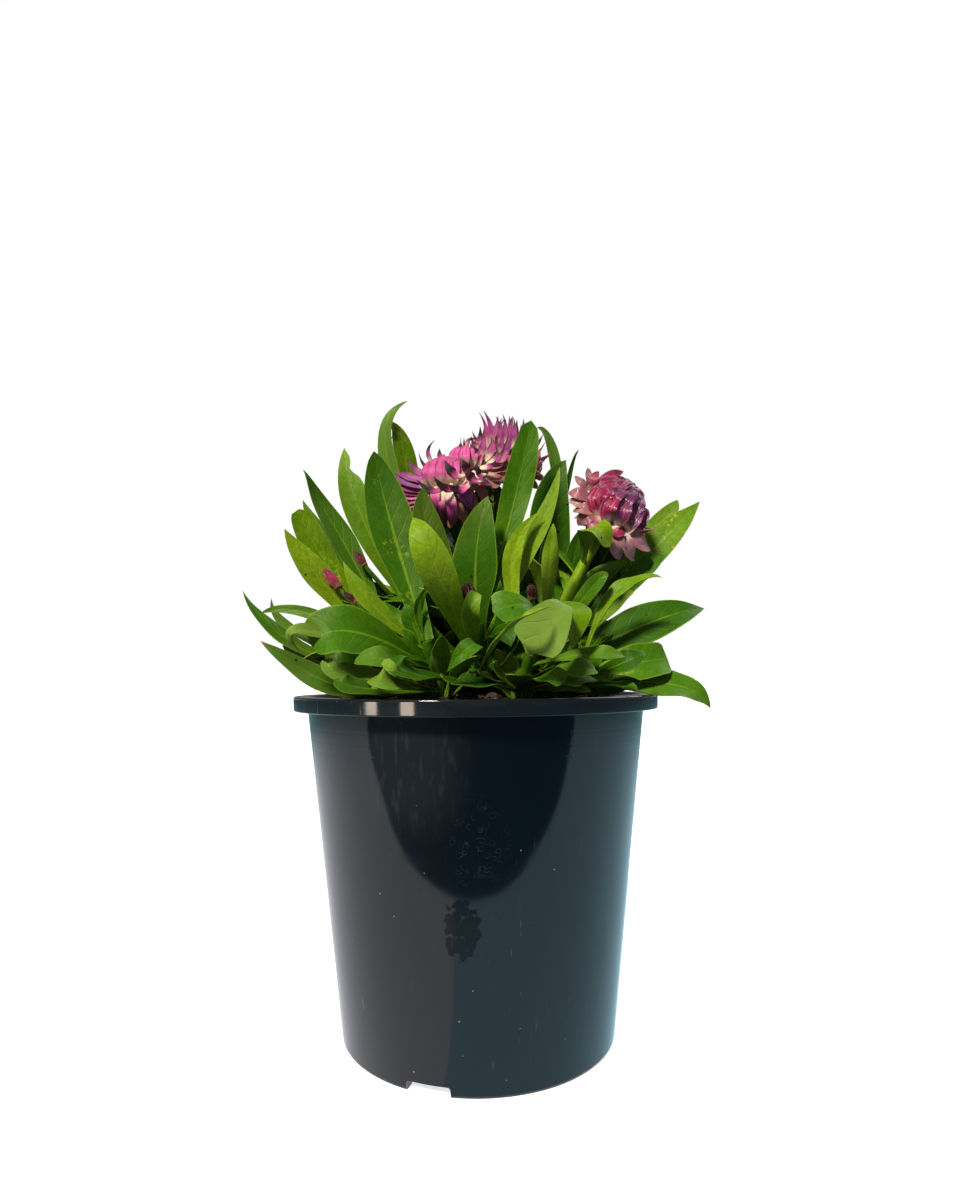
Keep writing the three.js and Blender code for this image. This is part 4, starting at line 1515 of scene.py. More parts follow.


# Each look's first part is the leaf's green: its own tone, with painted shade where the leaf lies in shadow (the dark
# shade_, rim_, low_, soil_, rear_ and behind_ leaves) and painted light where it is lit (the bright values)
LEAVES = (
    Leaf("sickle", "tall_left", 0.45, (-26, 8, 250), (-33.4, 6, 224), 8, -40, 10,
         Look(0.4, 0.45), Form.POINT, twist=-25),
    Leaf("olive_behind", "back_left", 0.9, (-37, 22, 244), (-28, 26, 226), 9.5, 15, 10,
         Look(0.6, 0, 0, 0.2), Form.POINT, hook=0.04),
    Leaf("shade_back", "centre", 0.95, (9.6, 4, 216), (8.7, 2, 198), 11, 0, 15, Look(0.1), Form.POINT),
    Leaf("shade_side", "centre", 0.95, (4.9, 0, 219), (3, -4, 198), 9, 0, 15, Look(0.2)),
    Leaf("pale_edge", "left", 1, (-33, 14, 238), (-32.5, 12, 218), 3, -30, 10, Look(0.5, 0.6)),
    Leaf("big_dark", "front_left", 1, (-36, -20, 222), (-30.2, -20, 196), 16.5, 10, 15,
         Look(0.36, 0, 0.5, 0.2), Form.BROAD),
    Leaf("notched", "left", 0.95, (-50.5, 2, 230), (-42, -3, 199), 11.5, -10, 15, Look(0.62, 0.1),
         bites=(Bite(Side.RIGHT, 0.84, 0.05, 0.7),)),
    Leaf("grey_back", "far_left", 1, (-66, -8, 217), (-50, -8, 192), 10.5, 15, 35,
         Look(0.36, 0.15), Form.POINT, hook=0.05),
    Leaf("grey_bit", "back_left", 0.6, (-69, 10, 212), (-55, 12, 188), 9, 20, 35, Look(0.4, 0.6), Form.POINT),
    Leaf("olive_round", "far_left", 0.85, (-64, -18, 202), (-54, -16, 181), 10, 10, 35,
         Look(0.7, 0, 0, 0.4), Form.BLUNT),
    Leaf("yellow_left", "far_left", 0.7, (-67, -28, 193), (-55, -24, 175), 10, 0, 35, Look(0.95, 0.1), Form.POINT),
    Leaf("olive_small", "left", 0.45, (-68, 2, 185), (-55, -2, 172), 7, 0, 45, Look(0.4, 0, 0.5)),
    Leaf("wedge", "front_left", 0.8, (-45, -36, 180), (-35, -37, 165), 7, 0, 35, Look(0.75, 0.1), Form.POINT),
    Leaf("long_arm", "far_left", 0.35, (-90, -4, 176), (-67, -12, 152), 7, -10, 55,
         Look(0.25), Form.POINT, hook=-0.04),
    Leaf("under_arm", "far_left", 0.2, (-75, -4, 153), (-58, -8, 145), 6, 0, 45, Look(0.5, 0.6)),
    Leaf("flat_left", "left", 0.3, (-89, 16, 167), (-63, 12, 165), 4.5, 0, 40, Look(0.45, 0.2, 0.6), twist=50),
    Leaf("thin_left", "back_left", 0.3, (-88, 30, 175), (-72, 26, 157), 6, 0, 50, Look(0.3, 0.35), Form.POINT),
    Leaf("olive_low", "left", 0.2, (-69, 2, 160), (-52, 0, 155), 7, 0, 40, Look(0.45, 0.1, 0.4)),
    Leaf("round", "front_left", 0.5, (-54, -48, 151), (-39, -46, 155), 18, -5, 22, Look(0.5), Form.BLUNT),
    Leaf("round_fold", "front_left", 0.45, (-57.2, -49, 148.6), (-53.5, -50, 155.5), 4.5, 0, 30,
         Look(0.55, 0.95), Form.POINT),
    Leaf("curled_tip", "far_left", 0.1, (-70, -30, 151), (-48, -36, 137.5), 9, 0, 40,
         Look(0.3, 0.2, 0.8), hook=0.12, twist=30),
    Leaf("pale_fold", "front_left", 0.3, (-49, -42, 145), (-37, -44, 141), 7, 0, 35, Look(0.7, 0.5)),
    Leaf("flat_top", "front_left", 0.25, (-38, -56, 146), (-25, -54, 145), 9, 0, 45, Look(0.45, 0.3), Form.BLUNT),
    Leaf("holed", "front_left", 0.05, (-33, -62, 142), (-24, -60, 138), 8, 0, 35,
         Look(0.62, 0.5), Form.ROUND, hook=-0.05),
    Leaf("rim_curl", "front_left", 0.1, (-48, -49, 146.5), (-40, -48, 139.5), 5.5, 0, 40,
         Look(0.5, 0.75), Form.BLUNT, fold=0.5, twist=30),
    Leaf("rim_dark", "front_left", 0.05, (-45, -52, 140), (-36, -50, 136.5), 8, 0, 40, Look(0.25, 0.1)),
    Leaf("pale_rim", "front_left", 0.1, (-28, -64, 145.5), (-21, -61, 139), 4, 0, 40,
         Look(0.8, 0.5, 0, 0, True), Form.BLUNT, fold=0.5),
    Leaf("dark_lip", "centre", 0.2, (-26.3, -60, 146), (-17.5, -58, 140.5), 10, 0, 50,
         Look(0.25), Form.ROUND, fold=0.4),
    Leaf("tiny_left", "front_left", 0.1, (-33, -58, 137), (-26, -52, 137), 4, 0, 40, Look(0.6, 0.2)),
    Leaf("bitten", "centre", 0.5, (-8.6, -67, 141.6), (-0.5, -62, 150), 6, 20, 40, Look(0.52)),
    Leaf("bright", "centre", 0.3, (-21, -46, 194), (-11, -46, 172), 12, -10, 15, Look(0.85, 0.05), hook=-0.03),
    Leaf("thin_hook", "front_left", 0.95, (-16, -32, 172), (-20, -31, 163), 3.5, 20, 20, Look(0.4, 0, 0.6), hook=0.1),
    Leaf("grey_tip", "centre", 0.9, (-18, -24, 208), (-14, -24, 184), 13, 20, 20, Look(0.15, 0.3)),
    Leaf("centre_dark", "centre", 0.85, (5, -26, 204), (0.5, -26, 181), 16.5, -15, 15, Look(0.3), Form.BROAD),
    Leaf("tall_blade", "centre", 1, (21.5, -13, 234.8), (13.5, -17, 199), 11, -5, 10,
         Look(0.5, 0, 0, 1), Form.ROUND, twist=-18),
    Leaf("light_fold", "front", 0.9, (23, -38, 196), (12.5, -37, 178), 6.5, 10, 25, Look(0.85, 0.05), Form.POINT),
    Leaf("grey_narrow", "centre", 0.6, (30, -32, 210), (20.7, -34, 187), 6.5, -15, 20,
         Look(0.8, 0.25, 0.3), Form.POINT, hook=0.04),
    Leaf("dark_wide", "right", 0.75, (36, 0, 224), (29.5, 1, 198), 16, 0, 15, Look(0.26), Form.BROAD),
    Leaf("arc", "right", 0.95, (26, 14, 241), (34, 14, 222), 5, 30, 10, Look(0.35, 0.3)),
    Leaf("thin_spike", "back_right", 0.8, (44, 20, 234), (38, 24, 212), 2, 20, 10, Look(0.2)),
    Leaf("light_curl", "tall_right", 0.3, (28, -22, 192), (27, -23, 178), 6, 0, 25, Look(0.85, 0.2), hook=0.08),
    Leaf("beside_stem", "right", 0.6, (42, -2, 197), (38, -1, 181), 7, 10, 20, Look(0.2)),
    Leaf("hooked", "tall_right", 0.78, (49, -27, 186), (42, -25, 192.5), 11, 10, 45,
         Look(0.78, 0, 0.2, 0.3), Form.ROUND, hook=-0.04),
    Leaf("shade_right", "right", 0.6, (59.5, 8, 201.4), (52, 6, 187), 13, 0, 20, Look(0.1)),
    Leaf("behind_hook", "right", 0.5, (59, 0, 185), (50, -2, 173), 12, 10, 35, Look(0.15)),
    Leaf("upper_right", "right", 0.85, (90, 6, 209), (69, 2, 188), 14, 0, 30,
         Look(0.62, 0.05, 0, 0.5), Form.POINT, twist=14),
    Leaf("upper_back", "back_right", 0.9, (86, 24, 214), (70, 22, 194), 10, 0, 30, Look(0.65, 0.35)),
    Leaf("below_upper", "right", 0.4, (72, -6, 186), (59, -8, 175), 9, 0, 35, Look(0.4)),
    Leaf("hook_tip", "far_right", 0.95, (64.5, -26, 172), (50, -27, 169.5), 6, 0, 50, Look(0.72, 0.15), hook=0.1),
    Leaf("pale_under", "right", 0.25, (60, -10, 172), (51, -10, 165), 6, 0, 40, Look(0.7, 0.5)),
    Leaf("olive_tip", "tall_right", 0.2, (47, -30, 176), (39, -27, 168), 6, 20, 35, Look(0.55, 0.05, 0.7)),
    Leaf("long_right", "tall_right", 0.1, (88.5, -8, 166.4), (62, -14, 158.2), 17, 0, 28,
         Look(0.25, 0, 0.35), Form.POINT, hook=-0.02),
    Leaf("blunt", "far_right", 0.3, (69.5, -24, 146), (54, -28, 143.5), 13.5, 0, 28,
         Look(0.55, 0.05, 0, 0.2), Form.SQUARE),
    Leaf("low_right", "far_right", 0.15, (84, -28, 128), (68, -28, 137), 12, 0, 35,
         Look(0.5, 0.1, 0.35), Form.POINT, wave=1),
    Leaf("dark_right", "far_right", 0.3, (57, -42, 148), (47, -42, 143), 9, 0, 40, Look(0.2)),
    Leaf("thin_right", "front", 0.7, (48, -54, 146), (36, -54, 147), 6, 0, 35, Look(0.5, 0.2)),
    Leaf("cut_tip", "front", 0.35, (38, -58, 142), (29, -56, 142), 7, 0, 35, Look(0.36, 0.3), Form.BLUNT),
    Leaf("arched", "front", 0.95, (30, -62, 148), (29.5, -57, 161.5), 12.5, 25, 32, Look(0.62)),
    Leaf("turned", "front", 0.95, (15.7, -72, 147.3), (26.9, -66, 161.9), 16, 5, 20,
         Look(0.6, 1, 0, 0.2, True), Form.FAN, fold=0.08),
    Leaf("squared", "front", 0.9, (5.5, -66, 159.6), (18.3, -60, 160.6), 12, -10, 30,
         Look(0.48), Form.FAN, fold=0.15),
    Leaf("edge_on", "centre", 0.25, (21.5, -76, 160), (8.5, -73, 153), 2.6, 0, 60, Look(0.85, 0.25)),
    Leaf("rim_round", "front", 0.2, (27, -66, 138), (22, -58, 140), 8, 0, 35, Look(0.4, 0.05), Form.BLUNT),
    Leaf("rim_small", "front", 0.1, (33, -62, 137), (26, -54, 138), 5, 0, 40, Look(0.42, 0.1)),
    Leaf("rim_low", "front", 0.1, (37, -56, 135), (29, -49, 136), 4, 0, 40, Look(0.6, 0.2)),
    Leaf("dry_small", "far_right", 0.1, (54, -46, 135), (47, -39, 137), 4, 0, 45, Look(0.5, 0, 1)),
    Leaf("cup", "centre", 0.15, (-0.8, -48, 163.5), (-1.6, -44, 155), 6, 10, 25,
         Look(0.7, 0.3), Form.BLUNT, hook=0.1, fold=0.7),
    # The low, soil, rear, behind and rim leaves that follow are dark green: painted shade under and behind the front
    # leaves
    Leaf("low_centre", "front", 0.05, (2, -62, 140.5), (6, -52, 139), 9, 0, 42, Look(0.08)),
    Leaf("low_left", "centre", 0.05, (-10, -60, 139.5), (-6, -47, 138), 9, 0, 42, Look(0.12)),
    Leaf("low_front", "front", 0.08, (13, -63, 140.5), (14, -52, 139), 9, 0, 42, Look(0.1)),
    Leaf("soil_left", "front", 0.02, (-8, -62, 138), (4, -58, 138), 9, 0, 58, Look(0.05)),
    Leaf("soil_right", "front", 0.02, (40, -50, 138.5), (28, -50, 138.5), 8, 0, 58, Look(0.1)),
    Leaf("soil_middle", "front", 0.06, (6, -50, 143), (9, -44, 140), 10, 0, 35, Look(0.05)),
    Leaf("shade_crest", "tall_left", 0.75, (-12, -8, 219), (-11, -6, 206), 11, 0, 15, Look(0.1)),
    Leaf("rear_right", "right", 0.1, (44, -34, 147), (38, -26, 143), 10, 0, 35, Look(0.12)),
    Leaf("rear_low_right", "right", 0.02, (54, -20, 140), (42, -6, 137.5), 11, 0, 20, Look(0.08)),
    Leaf("rear_low_centre", "centre", 0.02, (18, 2, 139), (9, -6, 137.5), 10, 0, 20, Look(0.05)),
    Leaf("rear_low_left", "left", 0.02, (-52, -18, 141), (-38, -4, 138), 11, 0, 20, Look(0.08)),
    Leaf("rim_right", "far_right", 0.02, (57, -38, 138), (45, -31, 136.2), 8, 0, 30, Look(0.1)),
    Leaf("behind_square", "centre", 0.6, (18, -32, 170), (12, -28, 160), 11, 0, 25, Look(0.15)),
    Leaf("behind_low", "centre", 0.2, (15, -42, 153), (9, -33, 148), 10, 0, 25, Look(0.1)),
    Leaf("behind_fold", "centre", 0.7, (22, -8, 189), (17, -8, 173), 10, 0, 15, Look(0.15)),
    Leaf("behind_round", "far_left", 0.2, (-53, -30, 148.5), (-42, -30, 143), 10, 0, 30, Look(0.12)),
    Leaf("behind_edge", "centre", 0.45, (12, -44, 150), (8, -36, 155), 10, 0, 30, Look(0.12)),
    Leaf("rim_shade", "far_right", 0.2, (46, -45, 139), (41, -40, 139.5), 7, 0, 40, Look(0.12)),
    Leaf("behind_wedge", "front_left", 0.95, (-34, -24, 168), (-28, -26, 158), 11, 10, 25, Look(0.5)),
    Leaf("under_wedge", "front_left", 0.6, (-31, -34, 158), (-24, -34, 151), 10, -5, 30, Look(0.35)),
    Leaf("beside_wedge", "centre", 0.4, (-24, -30, 166), (-18, -28, 156), 9, -10, 25, Look(0.42)),
)


@dataclass(frozen=True)
class Bush:
    """Leaves placed by rule on one stem, over its bearings in degrees (90 is the back)."""

    stem: str
    count: int
    start: float
    end: float
    short: float
    long: float


BUSH = (
    Bush("back_left", 11, 60, 225, 54, 76),
    Bush("back", 12, 20, 160, 46, 70),
    Bush("back_right", 11, -30, 120, 54, 74),
    Bush("left", 5, 110, 210, 50, 66),
    Bush("right", 5, -30, 90, 45, 60),
    Bush("far_left", 4, 160, 260, 40, 55),
    Bush("far_right", 4, -90, 10, 35, 48),
    Bush("tall_left", 5, 40, 200, 40, 58),
    Bush("tall_right", 3, -30, 120, 35, 48),
    Bush("centre", 5, 20, 340, 40, 52),
    Bush("front_left", 3, 200, 300, 35, 45),
    Bush("front", 3, 250, 340, 35, 42),
)

# More leaves of the same kind, which the solids leave out
THICKET = (
    Bush("back_left", 16, 80, 230, 36, 66),
    Bush("back", 20, 10, 170, 34, 64),
    Bush("back_right", 16, -40, 110, 36, 66),
    Bush("left", 18, 60, 300, 30, 54),
    Bush("right", 18, -110, 120, 30, 54),
    Bush("far_left", 12, 100, 290, 28, 46),
    Bush("far_right", 12, -110, 80, 26, 42),
    Bush("tall_left", 22, 0, 360, 26, 50),
    Bush("tall_right", 20, 0, 360, 24, 40),
    Bush("centre", 22, 0, 360, 24, 44),
    Bush("front_left", 14, 0, 360, 22, 38),
    Bush("front", 14, 0, 360, 22, 36),
)

# Low leaves near the soil, which close the view between the stems
UNDERGROWTH = (
    Bush("back_left", 9, 180, 400, 26, 40),
    Bush("back", 12, 150, 420, 26, 40),
    Bush("back_right", 9, 140, 360, 26, 40),
    Bush("left", 9, 0, 360, 22, 36),
    Bush("right", 9, 0, 360, 22, 36),
    Bush("tall_left", 10, 0, 360, 20, 34),
    Bush("tall_right", 8, 0, 360, 20, 34),
    Bush("centre", 6, 60, 120, 18, 28),
    Bush("far_left", 6, 90, 270, 20, 34),
    Bush("far_right", 6, -90, 90, 20, 34),
)


@dataclass
class Foliage:
    """The twelve leafy stems: each is one piece with all its leaves.

    The reach is how far the leaves may go to the sides, to the front and up. The outline gives
    how far left and right they may show at each height, seen from the eye, and no new leaf
    stands before the windows (left, right, low, high and depth) that the blooms show in. A
    leaf is the same as one of the solids' when their tips are as near as same says.
    """

    masters: Masters
    draws: Draws
    stem_radius: float = 2.3
    root: float = 7.0
    plain: Pair = (0.2, 0.3)
    stalk_radius: float = 0.9
    thickness: float = 0.62
    eye: Pair = (290.0, 140.0)
    reach: Triple = (85.0, 78.0, 238.0)
    widths: Pair = (10.0, 17.0)
    rises: Triple = (8.0, 72.0, 1.3)
    ups: Pair = (0.25, 0.95)
    low_ups: Pair = (0.0, 0.35)
    depth_steps: tuple[int, ...] = (0, 2, -2, 4, -4, 6, -6, 9, -9, 12, -12, 16, -16, 20)
    turn_steps: tuple[int, ...] = (0, 9, -9, 18, -18, 27, -27, 38, -38)
    spare: float = 2.2
    outline: tuple[Triple, ...] = (
        (120, -86, 92), (152, -78, 80), (160, -64, 66), (170, -54, 46), (178, -52, 50), (184, -56, 60),
        (196, -62, 74), (206, -62, 66), (216, -58, 54), (226, -50, 40), (236, -45, 30), (250, -36, 26),
    )
    tuft: int = 15
    tuft_rises: Pair = (15, 75)
    tuft_lengths: Pair = (14, 30)
    tuft_widths: Pair = (6, 10)
    nearest: float = -24.0
    same: float = 0.12
    windows: tuple[tuple[float, ...], ...] = (
        (-34.0, 28.0, 203.0, 250.0, 12.0), (36.0, 74.0, 188.0, 226.0, 0.0), (28.0, 50.0, 158.0, 196.0, -8.0),
    )
    seed: int = 11
    pieces: dict[str, Pieces] = field(default_factory=dict)
    trees: dict[str, kdtree.KDTree] = field(default_factory=dict)
    lines: list[tuple[str, Array]] = field(default_factory=list)

    def tips(self, stem: str) -> kdtree.KDTree:
        """The corners of a stem's solid, to find the tips of its leaves in."""
        return tree_of([vertex.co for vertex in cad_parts[f"shoot_{stem}"].data.vertices])

    def grown(self, stem: str, forms: list[Path]) -> Path | None:
        """The form whose tip the solids have, or none.

        Args:
            stem: The stem's name.
            forms: The curves that the leaf may follow.

        Returns:
            The curve, or none when no tip is there.
        """
        found = [self.trees[stem].find(Vector(form.tip * MM))[2] for form in forms]
        best = min(range(len(forms)), key=found.__getitem__)
        return forms[best] if found[best] < self.same * MM else None

    def slid(self, place: Array, step: float) -> Array:
        """The place slid along the line of sight."""
        distance, height = self.eye
        return place + step * np.array([place[0] / distance, 1, (place[2] - height) / distance])

    def stem_size(self, along: Array) -> Array:
        """A stem's radius, with a knot at each of five leaf scars."""
        knots = 1 + 0.14 * np.exp(-(((along * 5) % 1 - 0.5) / 0.16) ** 2)
        return self.stem_radius * knots * (1.06 - 0.2 * along)

    def add_stem(self, name: str) -> None:
        """Adds a stem with its foot in the soil.

        Args:
            name: The stem's name.
        """
        stem, flat = STEMS[name], self.masters.get(RodForm(14, 18))
        path = stem.path()
        sunk = self.root / (2 * (stem.bend[2] - Stem.SOIL))
        lower = Path(path.at(np.array(-sunk)), path.at(np.array((1 - sunk) / 2)), path.tip)
        points = rod_points(flat, lower, self.stem_size, 5)
        self.pieces[name].add(replace_flat(flat, *self.plain), points, stem.look)

    def add_leaf(self, leaf: Leaf, draw: Random) -> None:
        """Adds a leaf that shows from the front.

        Args:
            leaf: The leaf.
            draw: The random source.
        """
        LOG.debug("leaf %s grows from %s", leaf.name, leaf.stem)
        root = STEMS[leaf.stem].at(leaf.up)
        tip, middle = np.array(leaf.tip, float), np.array(leaf.middle, float)
        forms = [Path(root, self.slid(middle, 0.7 * s), self.slid(tip, s)) for s in self.depth_steps]
        path = self.grown(leaf.stem, forms) or forms[0]
        bend = Bend(
            leaf.width, self.thickness, leaf.fold, leaf.wave, draw.uniform(1.5, 3), draw.random(),
            leaf.hook, leaf.twist + draw.uniform(-8, 8), leaf.bites,
        )
        self.add_blade(leaf.stem, leaf.form, path, facing(leaf.bearing, leaf.rise), bend, leaf.look)

    def add_blade(self, stem: str, form: Form, path: Path, face: Array, bend: Bend, look: Look) -> None:
        """Adds a bent blade to its stem's piece.

        Args:
            stem: The stem's name.
            form: Which blade it is.
            path: The curve that it follows.
            face: The way that its upper face looks.
            bend: How it is bent.
            look: What its finish reads.
        """
        flat = self.masters.get(form)
        points, under = bend.bent(flat, path, face)
        self.pieces[stem].add(flat, points, look, under)
        self.lines.append((stem, path.at(np.linspace(0.1, 1, 10))))

    def bush_forms(
        self, bush: Bush, index: int, draw: Callable[[], float], ups: Pair,
    ) -> tuple[list[tuple[Path, Array]], float]:
        """The forms that a leaf placed by rule may take, and its width.

        Args:
            bush: The leaves' rule.
            index: Which of the leaves it is.
            draw: The source of its numbers.
            ups: How far up the stem it may root.

        Returns:
            Pairs of curve and upper face, and the width.
        """
        share = (index + 0.5) / bush.count
        bearing = between(bush.start, bush.end, share) + between(-6, 6, draw())
        lowest, highest, lean = self.rises
        rise = between(lowest, highest, ((index * 0.618 + draw() * 0.2) % 1) ** lean)
        length = between(bush.short, bush.long, draw())
        width = between(*self.widths, draw())
        up = between(*ups, (index * 0.382) % 1)
        arch = between(0.06, 0.16, draw())
        root = STEMS[bush.stem].at(up)
        forms = []
        for step in self.turn_steps:
            b, r = math.radians(bearing + step), math.radians(rise)
            out = np.array([math.cos(b), math.sin(b), 0])
            tip = root + out * length * math.cos(r) + np.array([0, 0, length * math.sin(r)])
            over = max(math.hypot(tip[0] / self.reach[0], tip[1] / self.reach[1]), 1)
            tip = np.array([tip[0] / over, tip[1] / over, min(tip[2], self.reach[2])])
            face = -math.sin(r) * out + np.array([0, 0, math.cos(r)])
            forms.append((Path(root, (root + tip) / 2 + face * arch * length, tip), face))
        return forms, width

    def bush_look(self, draw: Random) -> Look:
        """A finish for a leaf placed by rule, with shade, greyness, withering and patches."""
        shade, grey = draw.betavariate(2, 3), draw.random() ** 3 * 0.6
        return Look(shade, grey, draw.random() ** 5, draw.random() ** 2 * 0.6)

    def bush_bend(self, width: float, draw: Random) -> Bend:
        """A bend for a leaf placed by rule.

        Args:
            width: Its width in millimetres.
            draw: The random source.

        Returns:
            The bend.
        """
        return Bend(
            width, self.thickness, draw.uniform(0.08, 0.24), draw.uniform(0.3, 1.2), draw.uniform(1.2, 3),
            draw.random(), draw.uniform(-0.05, 0.08), draw.uniform(-28, 28),
        )

    def add_bush(self, bush: Bush, draw: Random) -> None:
        """Adds the leaves placed by rule that the solids have.

        Args:
            bush: The leaves' rule.
            draw: The random source.
        """
        for index in range(bush.count):
            forms, width = self.bush_forms(bush, index, self.draws, self.ups)
            look, bend = self.bush_look(draw), self.bush_bend(width, draw)
            path = self.grown(bush.stem, [form for form, _ in forms])
            if path is not None and self.shows_clear(path):
                face = next(face for form, face in forms if form is path)
                self.add_blade(bush.stem, Form.BUSH, path, face, bend, look)

    def is_clear(self, path: Path, tree: kdtree.KDTree, spare: float) -> bool:
        """Whether a new leaf's outer part keeps clear of the other leaves."""
        places = path.at(np.linspace(0.4, 1, 7))
        return all(tree.find(Vector(place))[2] > spare for place in places)

    def add_tuft(self, stem: str, draw: Random) -> None:
        """Adds small dark leaves round a stem's foot, which close the view over the soil; their dark green is painted
        shade.

        Args:
            stem: The stem's name.
            draw: The random source.
        """
        for index in range(self.tuft):
            bearing = math.tau * (index + draw.random()) / self.tuft
            rise, length = math.radians(draw.uniform(*self.tuft_rises)), draw.uniform(*self.tuft_lengths)
            out = np.array([math.cos(bearing), math.sin(bearing), 0])
            root = STEMS[stem].at(0.0) + out * draw.uniform(1, 4) - np.array([0, 0, 2.5])
            tip = root + length * (math.cos(rise) * out + np.array([0, 0, math.sin(rise)]))
            face = -math.sin(rise) * out + np.array([0, 0, math.cos(rise)])
            path = Path(root, (root + tip) / 2 + face * 0.12 * length, tip)
            if path.tip[1] > self.nearest or draw.random() < 0.75:
                bend = self.bush_bend(draw.uniform(*self.tuft_widths), draw)
                # Dark green from 0 to 0.35: painted shade at the foot of the plant
                self.add_blade(stem, Form.BUSH, path, face, bend, Look(draw.uniform(0, 0.35), 0, 0))

    def shows_clear(self, path: Path) -> bool:
        """Whether a new leaf keeps behind the front leaves, and hides no bloom.

        Args:
            path: The leaf's curve.

        Returns:
            Whether it may be added.
        """
        distance, height = self.eye
        share = distance / (path.tip[1] + distance)
        across, up = path.tip[0] * share, height + (path.tip[2] - height) * share
        heights, left, right = zip(*self.outline)
        if not np.interp(up, heights, left) < across < np.interp(up, heights, right):
            return False
        for x, y, z in path.at(np.linspace(0.2, 1, 9)):
            if y < self.nearest:
                return False
            for left, right, low, high, depth in self.windows:
                share = (depth + distance) / (y + distance)
                across, up = x * share, height + (z - height) * share
                if y < depth and left < across < right and low < up < high:
                    return False
        return True

    def add_thicket(self, bush: Bush, draw: Random, spare: float, ups: Pair) -> None:
        """Adds more leaves where there is room for them.

        Args:
            bush: The leaves' rule.
            draw: The random source.
            spare: How clear of other leaves they keep.
            ups: How far up the stem they may root.
        """
        for index in range(bush.count):
            forms, width = self.bush_forms(bush, index, draw.random, ups)
            tree = tree_of([Vector(place) for _, line in self.lines for place in line])
            clear = [pair for pair in forms if self.shows_clear(pair[0]) and self.is_clear(pair[0], tree, spare)]
            look, bend = self.bush_look(draw), self.bush_bend(width * 0.85, draw)
            if clear:
                self.add_blade(bush.stem, Form.BUSH, *clear[0], bend, look)

    def add_stalk(self, bud: "Bud") -> None:
        """Adds the stalk of a bud.

        Args:
            bud: The bud.
        """
        flat = self.masters.get(RodForm(8, 6))
        axis = unit(np.array(bud.axis, float))
        start, end = STEMS[bud.stem].at(bud.up), np.array(bud.base, float)
        before = end - 4 * axis
        path = Path(start, (start + 2 * before + end) / 4, end)
        points = rod_points(flat, path, lambda along: self.stalk_radius * (1.2 - 0.3 * along))
        self.pieces[bud.stem].add(replace_flat(flat, *self.plain), points, Look(0.6, 0.2))

    def build(self) -> list[Object]:
        """Builds and dresses the stems with their leaves.

        Returns:
            The pieces, one for each stem.
        """
        draw = Random(self.seed)
        self.pieces = {name: Pieces() for name in STEMS}
        self.trees = {name: self.tips(name) for name in STEMS}
        for name in STEMS:
            self.add_stem(name)
        for bud in BUDS:
            self.add_stalk(bud)
        for leaf in LEAVES:
            self.add_leaf(leaf, draw)
        for bush in BUSH:
            self.add_bush(bush, draw)
        for name in STEMS:
            self.add_tuft(name, draw)
        for bush in UNDERGROWTH:
            self.add_thicket(bush, draw, self.spare / 3, self.low_ups)
        for bush in THICKET:
            self.add_thicket(bush, draw, self.spare, self.ups)
        material = LeafFinish().build()
        return [
            dress(pieces.build(f"leafy_{name}", material, 70), "leaf", f"shoot_{name}")
            for name, pieces in self.pieces.items()
        ]


def replace_flat(flat: Flat, across: float, along: float) -> Flat:
    """The same master with its whole map at one point."""
    spot = np.tile((across, along), (len(flat.flat), 1))
    return Flat(flat.points, flat.corners, flat.sizes, spot)


# Blooms and buds


@dataclass(frozen=True)
class Row:
    """A ring of bracts round a lobe.

    The bracts stand at an angle from its axis, and turn from their first direction to
    their last; the looks are the least and the most that they take.
    """

    count: int
    start: float
    lean: float
    turn: float
    length: float
    width: float
    form: Form = Form.STRAP
    low: Look = Look(0.0, 0.0, 0.2, 0.0)
    high: Look = Look(0.6, 0.2, 0.8, 1.0)
    all_round: bool = True


@dataclass(frozen=True)
class Shingles:
    """A ring of scales that hug a lobe, between two angles from its axis."""

    count: int
    start: float
    end: float
    stand: float
    width: float
    low: Look = Look(0.0)
    high: Look = Look(0.5, 0.1, 0.6, 1.0)
    form: Form = Form.SCALE


@dataclass(frozen=True)
class Lobe:
    """A lobe of a bloom: its core, its rings of bracts and its hugging scales."""

    centre: Triple
    axis: Triple
    core: Triple
    rows: tuple[Row, ...]
    scales: tuple[Shingles, ...]

    def polar(self, angle: float, bearing: float, scale: Triple = (1, 1, 1)) -> Array:
        """A direction at an angle from the axis and a bearing round it.

        Args:
            angle: The angle in degrees.
            bearing: The bearing in radians.
            scale: How far it reaches along each axis.

        Returns:
            The direction.
        """
        out = math.sin(math.radians(angle))
        flat = (scale[0] * out * math.cos(bearing), scale[1] * out * math.sin(bearing))
        local = Vector((*flat, scale[2] * math.cos(math.radians(angle))))
        turn = Vector((0, 0, 1)).rotation_difference(Vector(self.axis).normalized())
        return np.array(turn @ local)


def drawn_look(low: Look, high: Look, draw: Random) -> Look:
    """A look between two others."""
    pairs = ((low.first, high.first), (low.second, high.second), (low.third, high.third))
    return Look(*(between(a, b, draw.random()) for a, b in pairs), draw.random())


@dataclass(frozen=True)
class Ray:
    """A bract placed by where it shows: its root, middle and tip in pixels, with depths."""

    root: Triple
    middle: Triple
    tip: Triple
    width: float
    look: Look
    form: Form


def rays(form: Form, *rows: tuple) -> tuple[Ray, ...]:
    """Bracts of one form, each a root, middle and tip, its width and the parts of its look."""
    return tuple(Ray(root, middle, tip, width, Look(*look), form) for root, middle, tip, width, *look in rows)


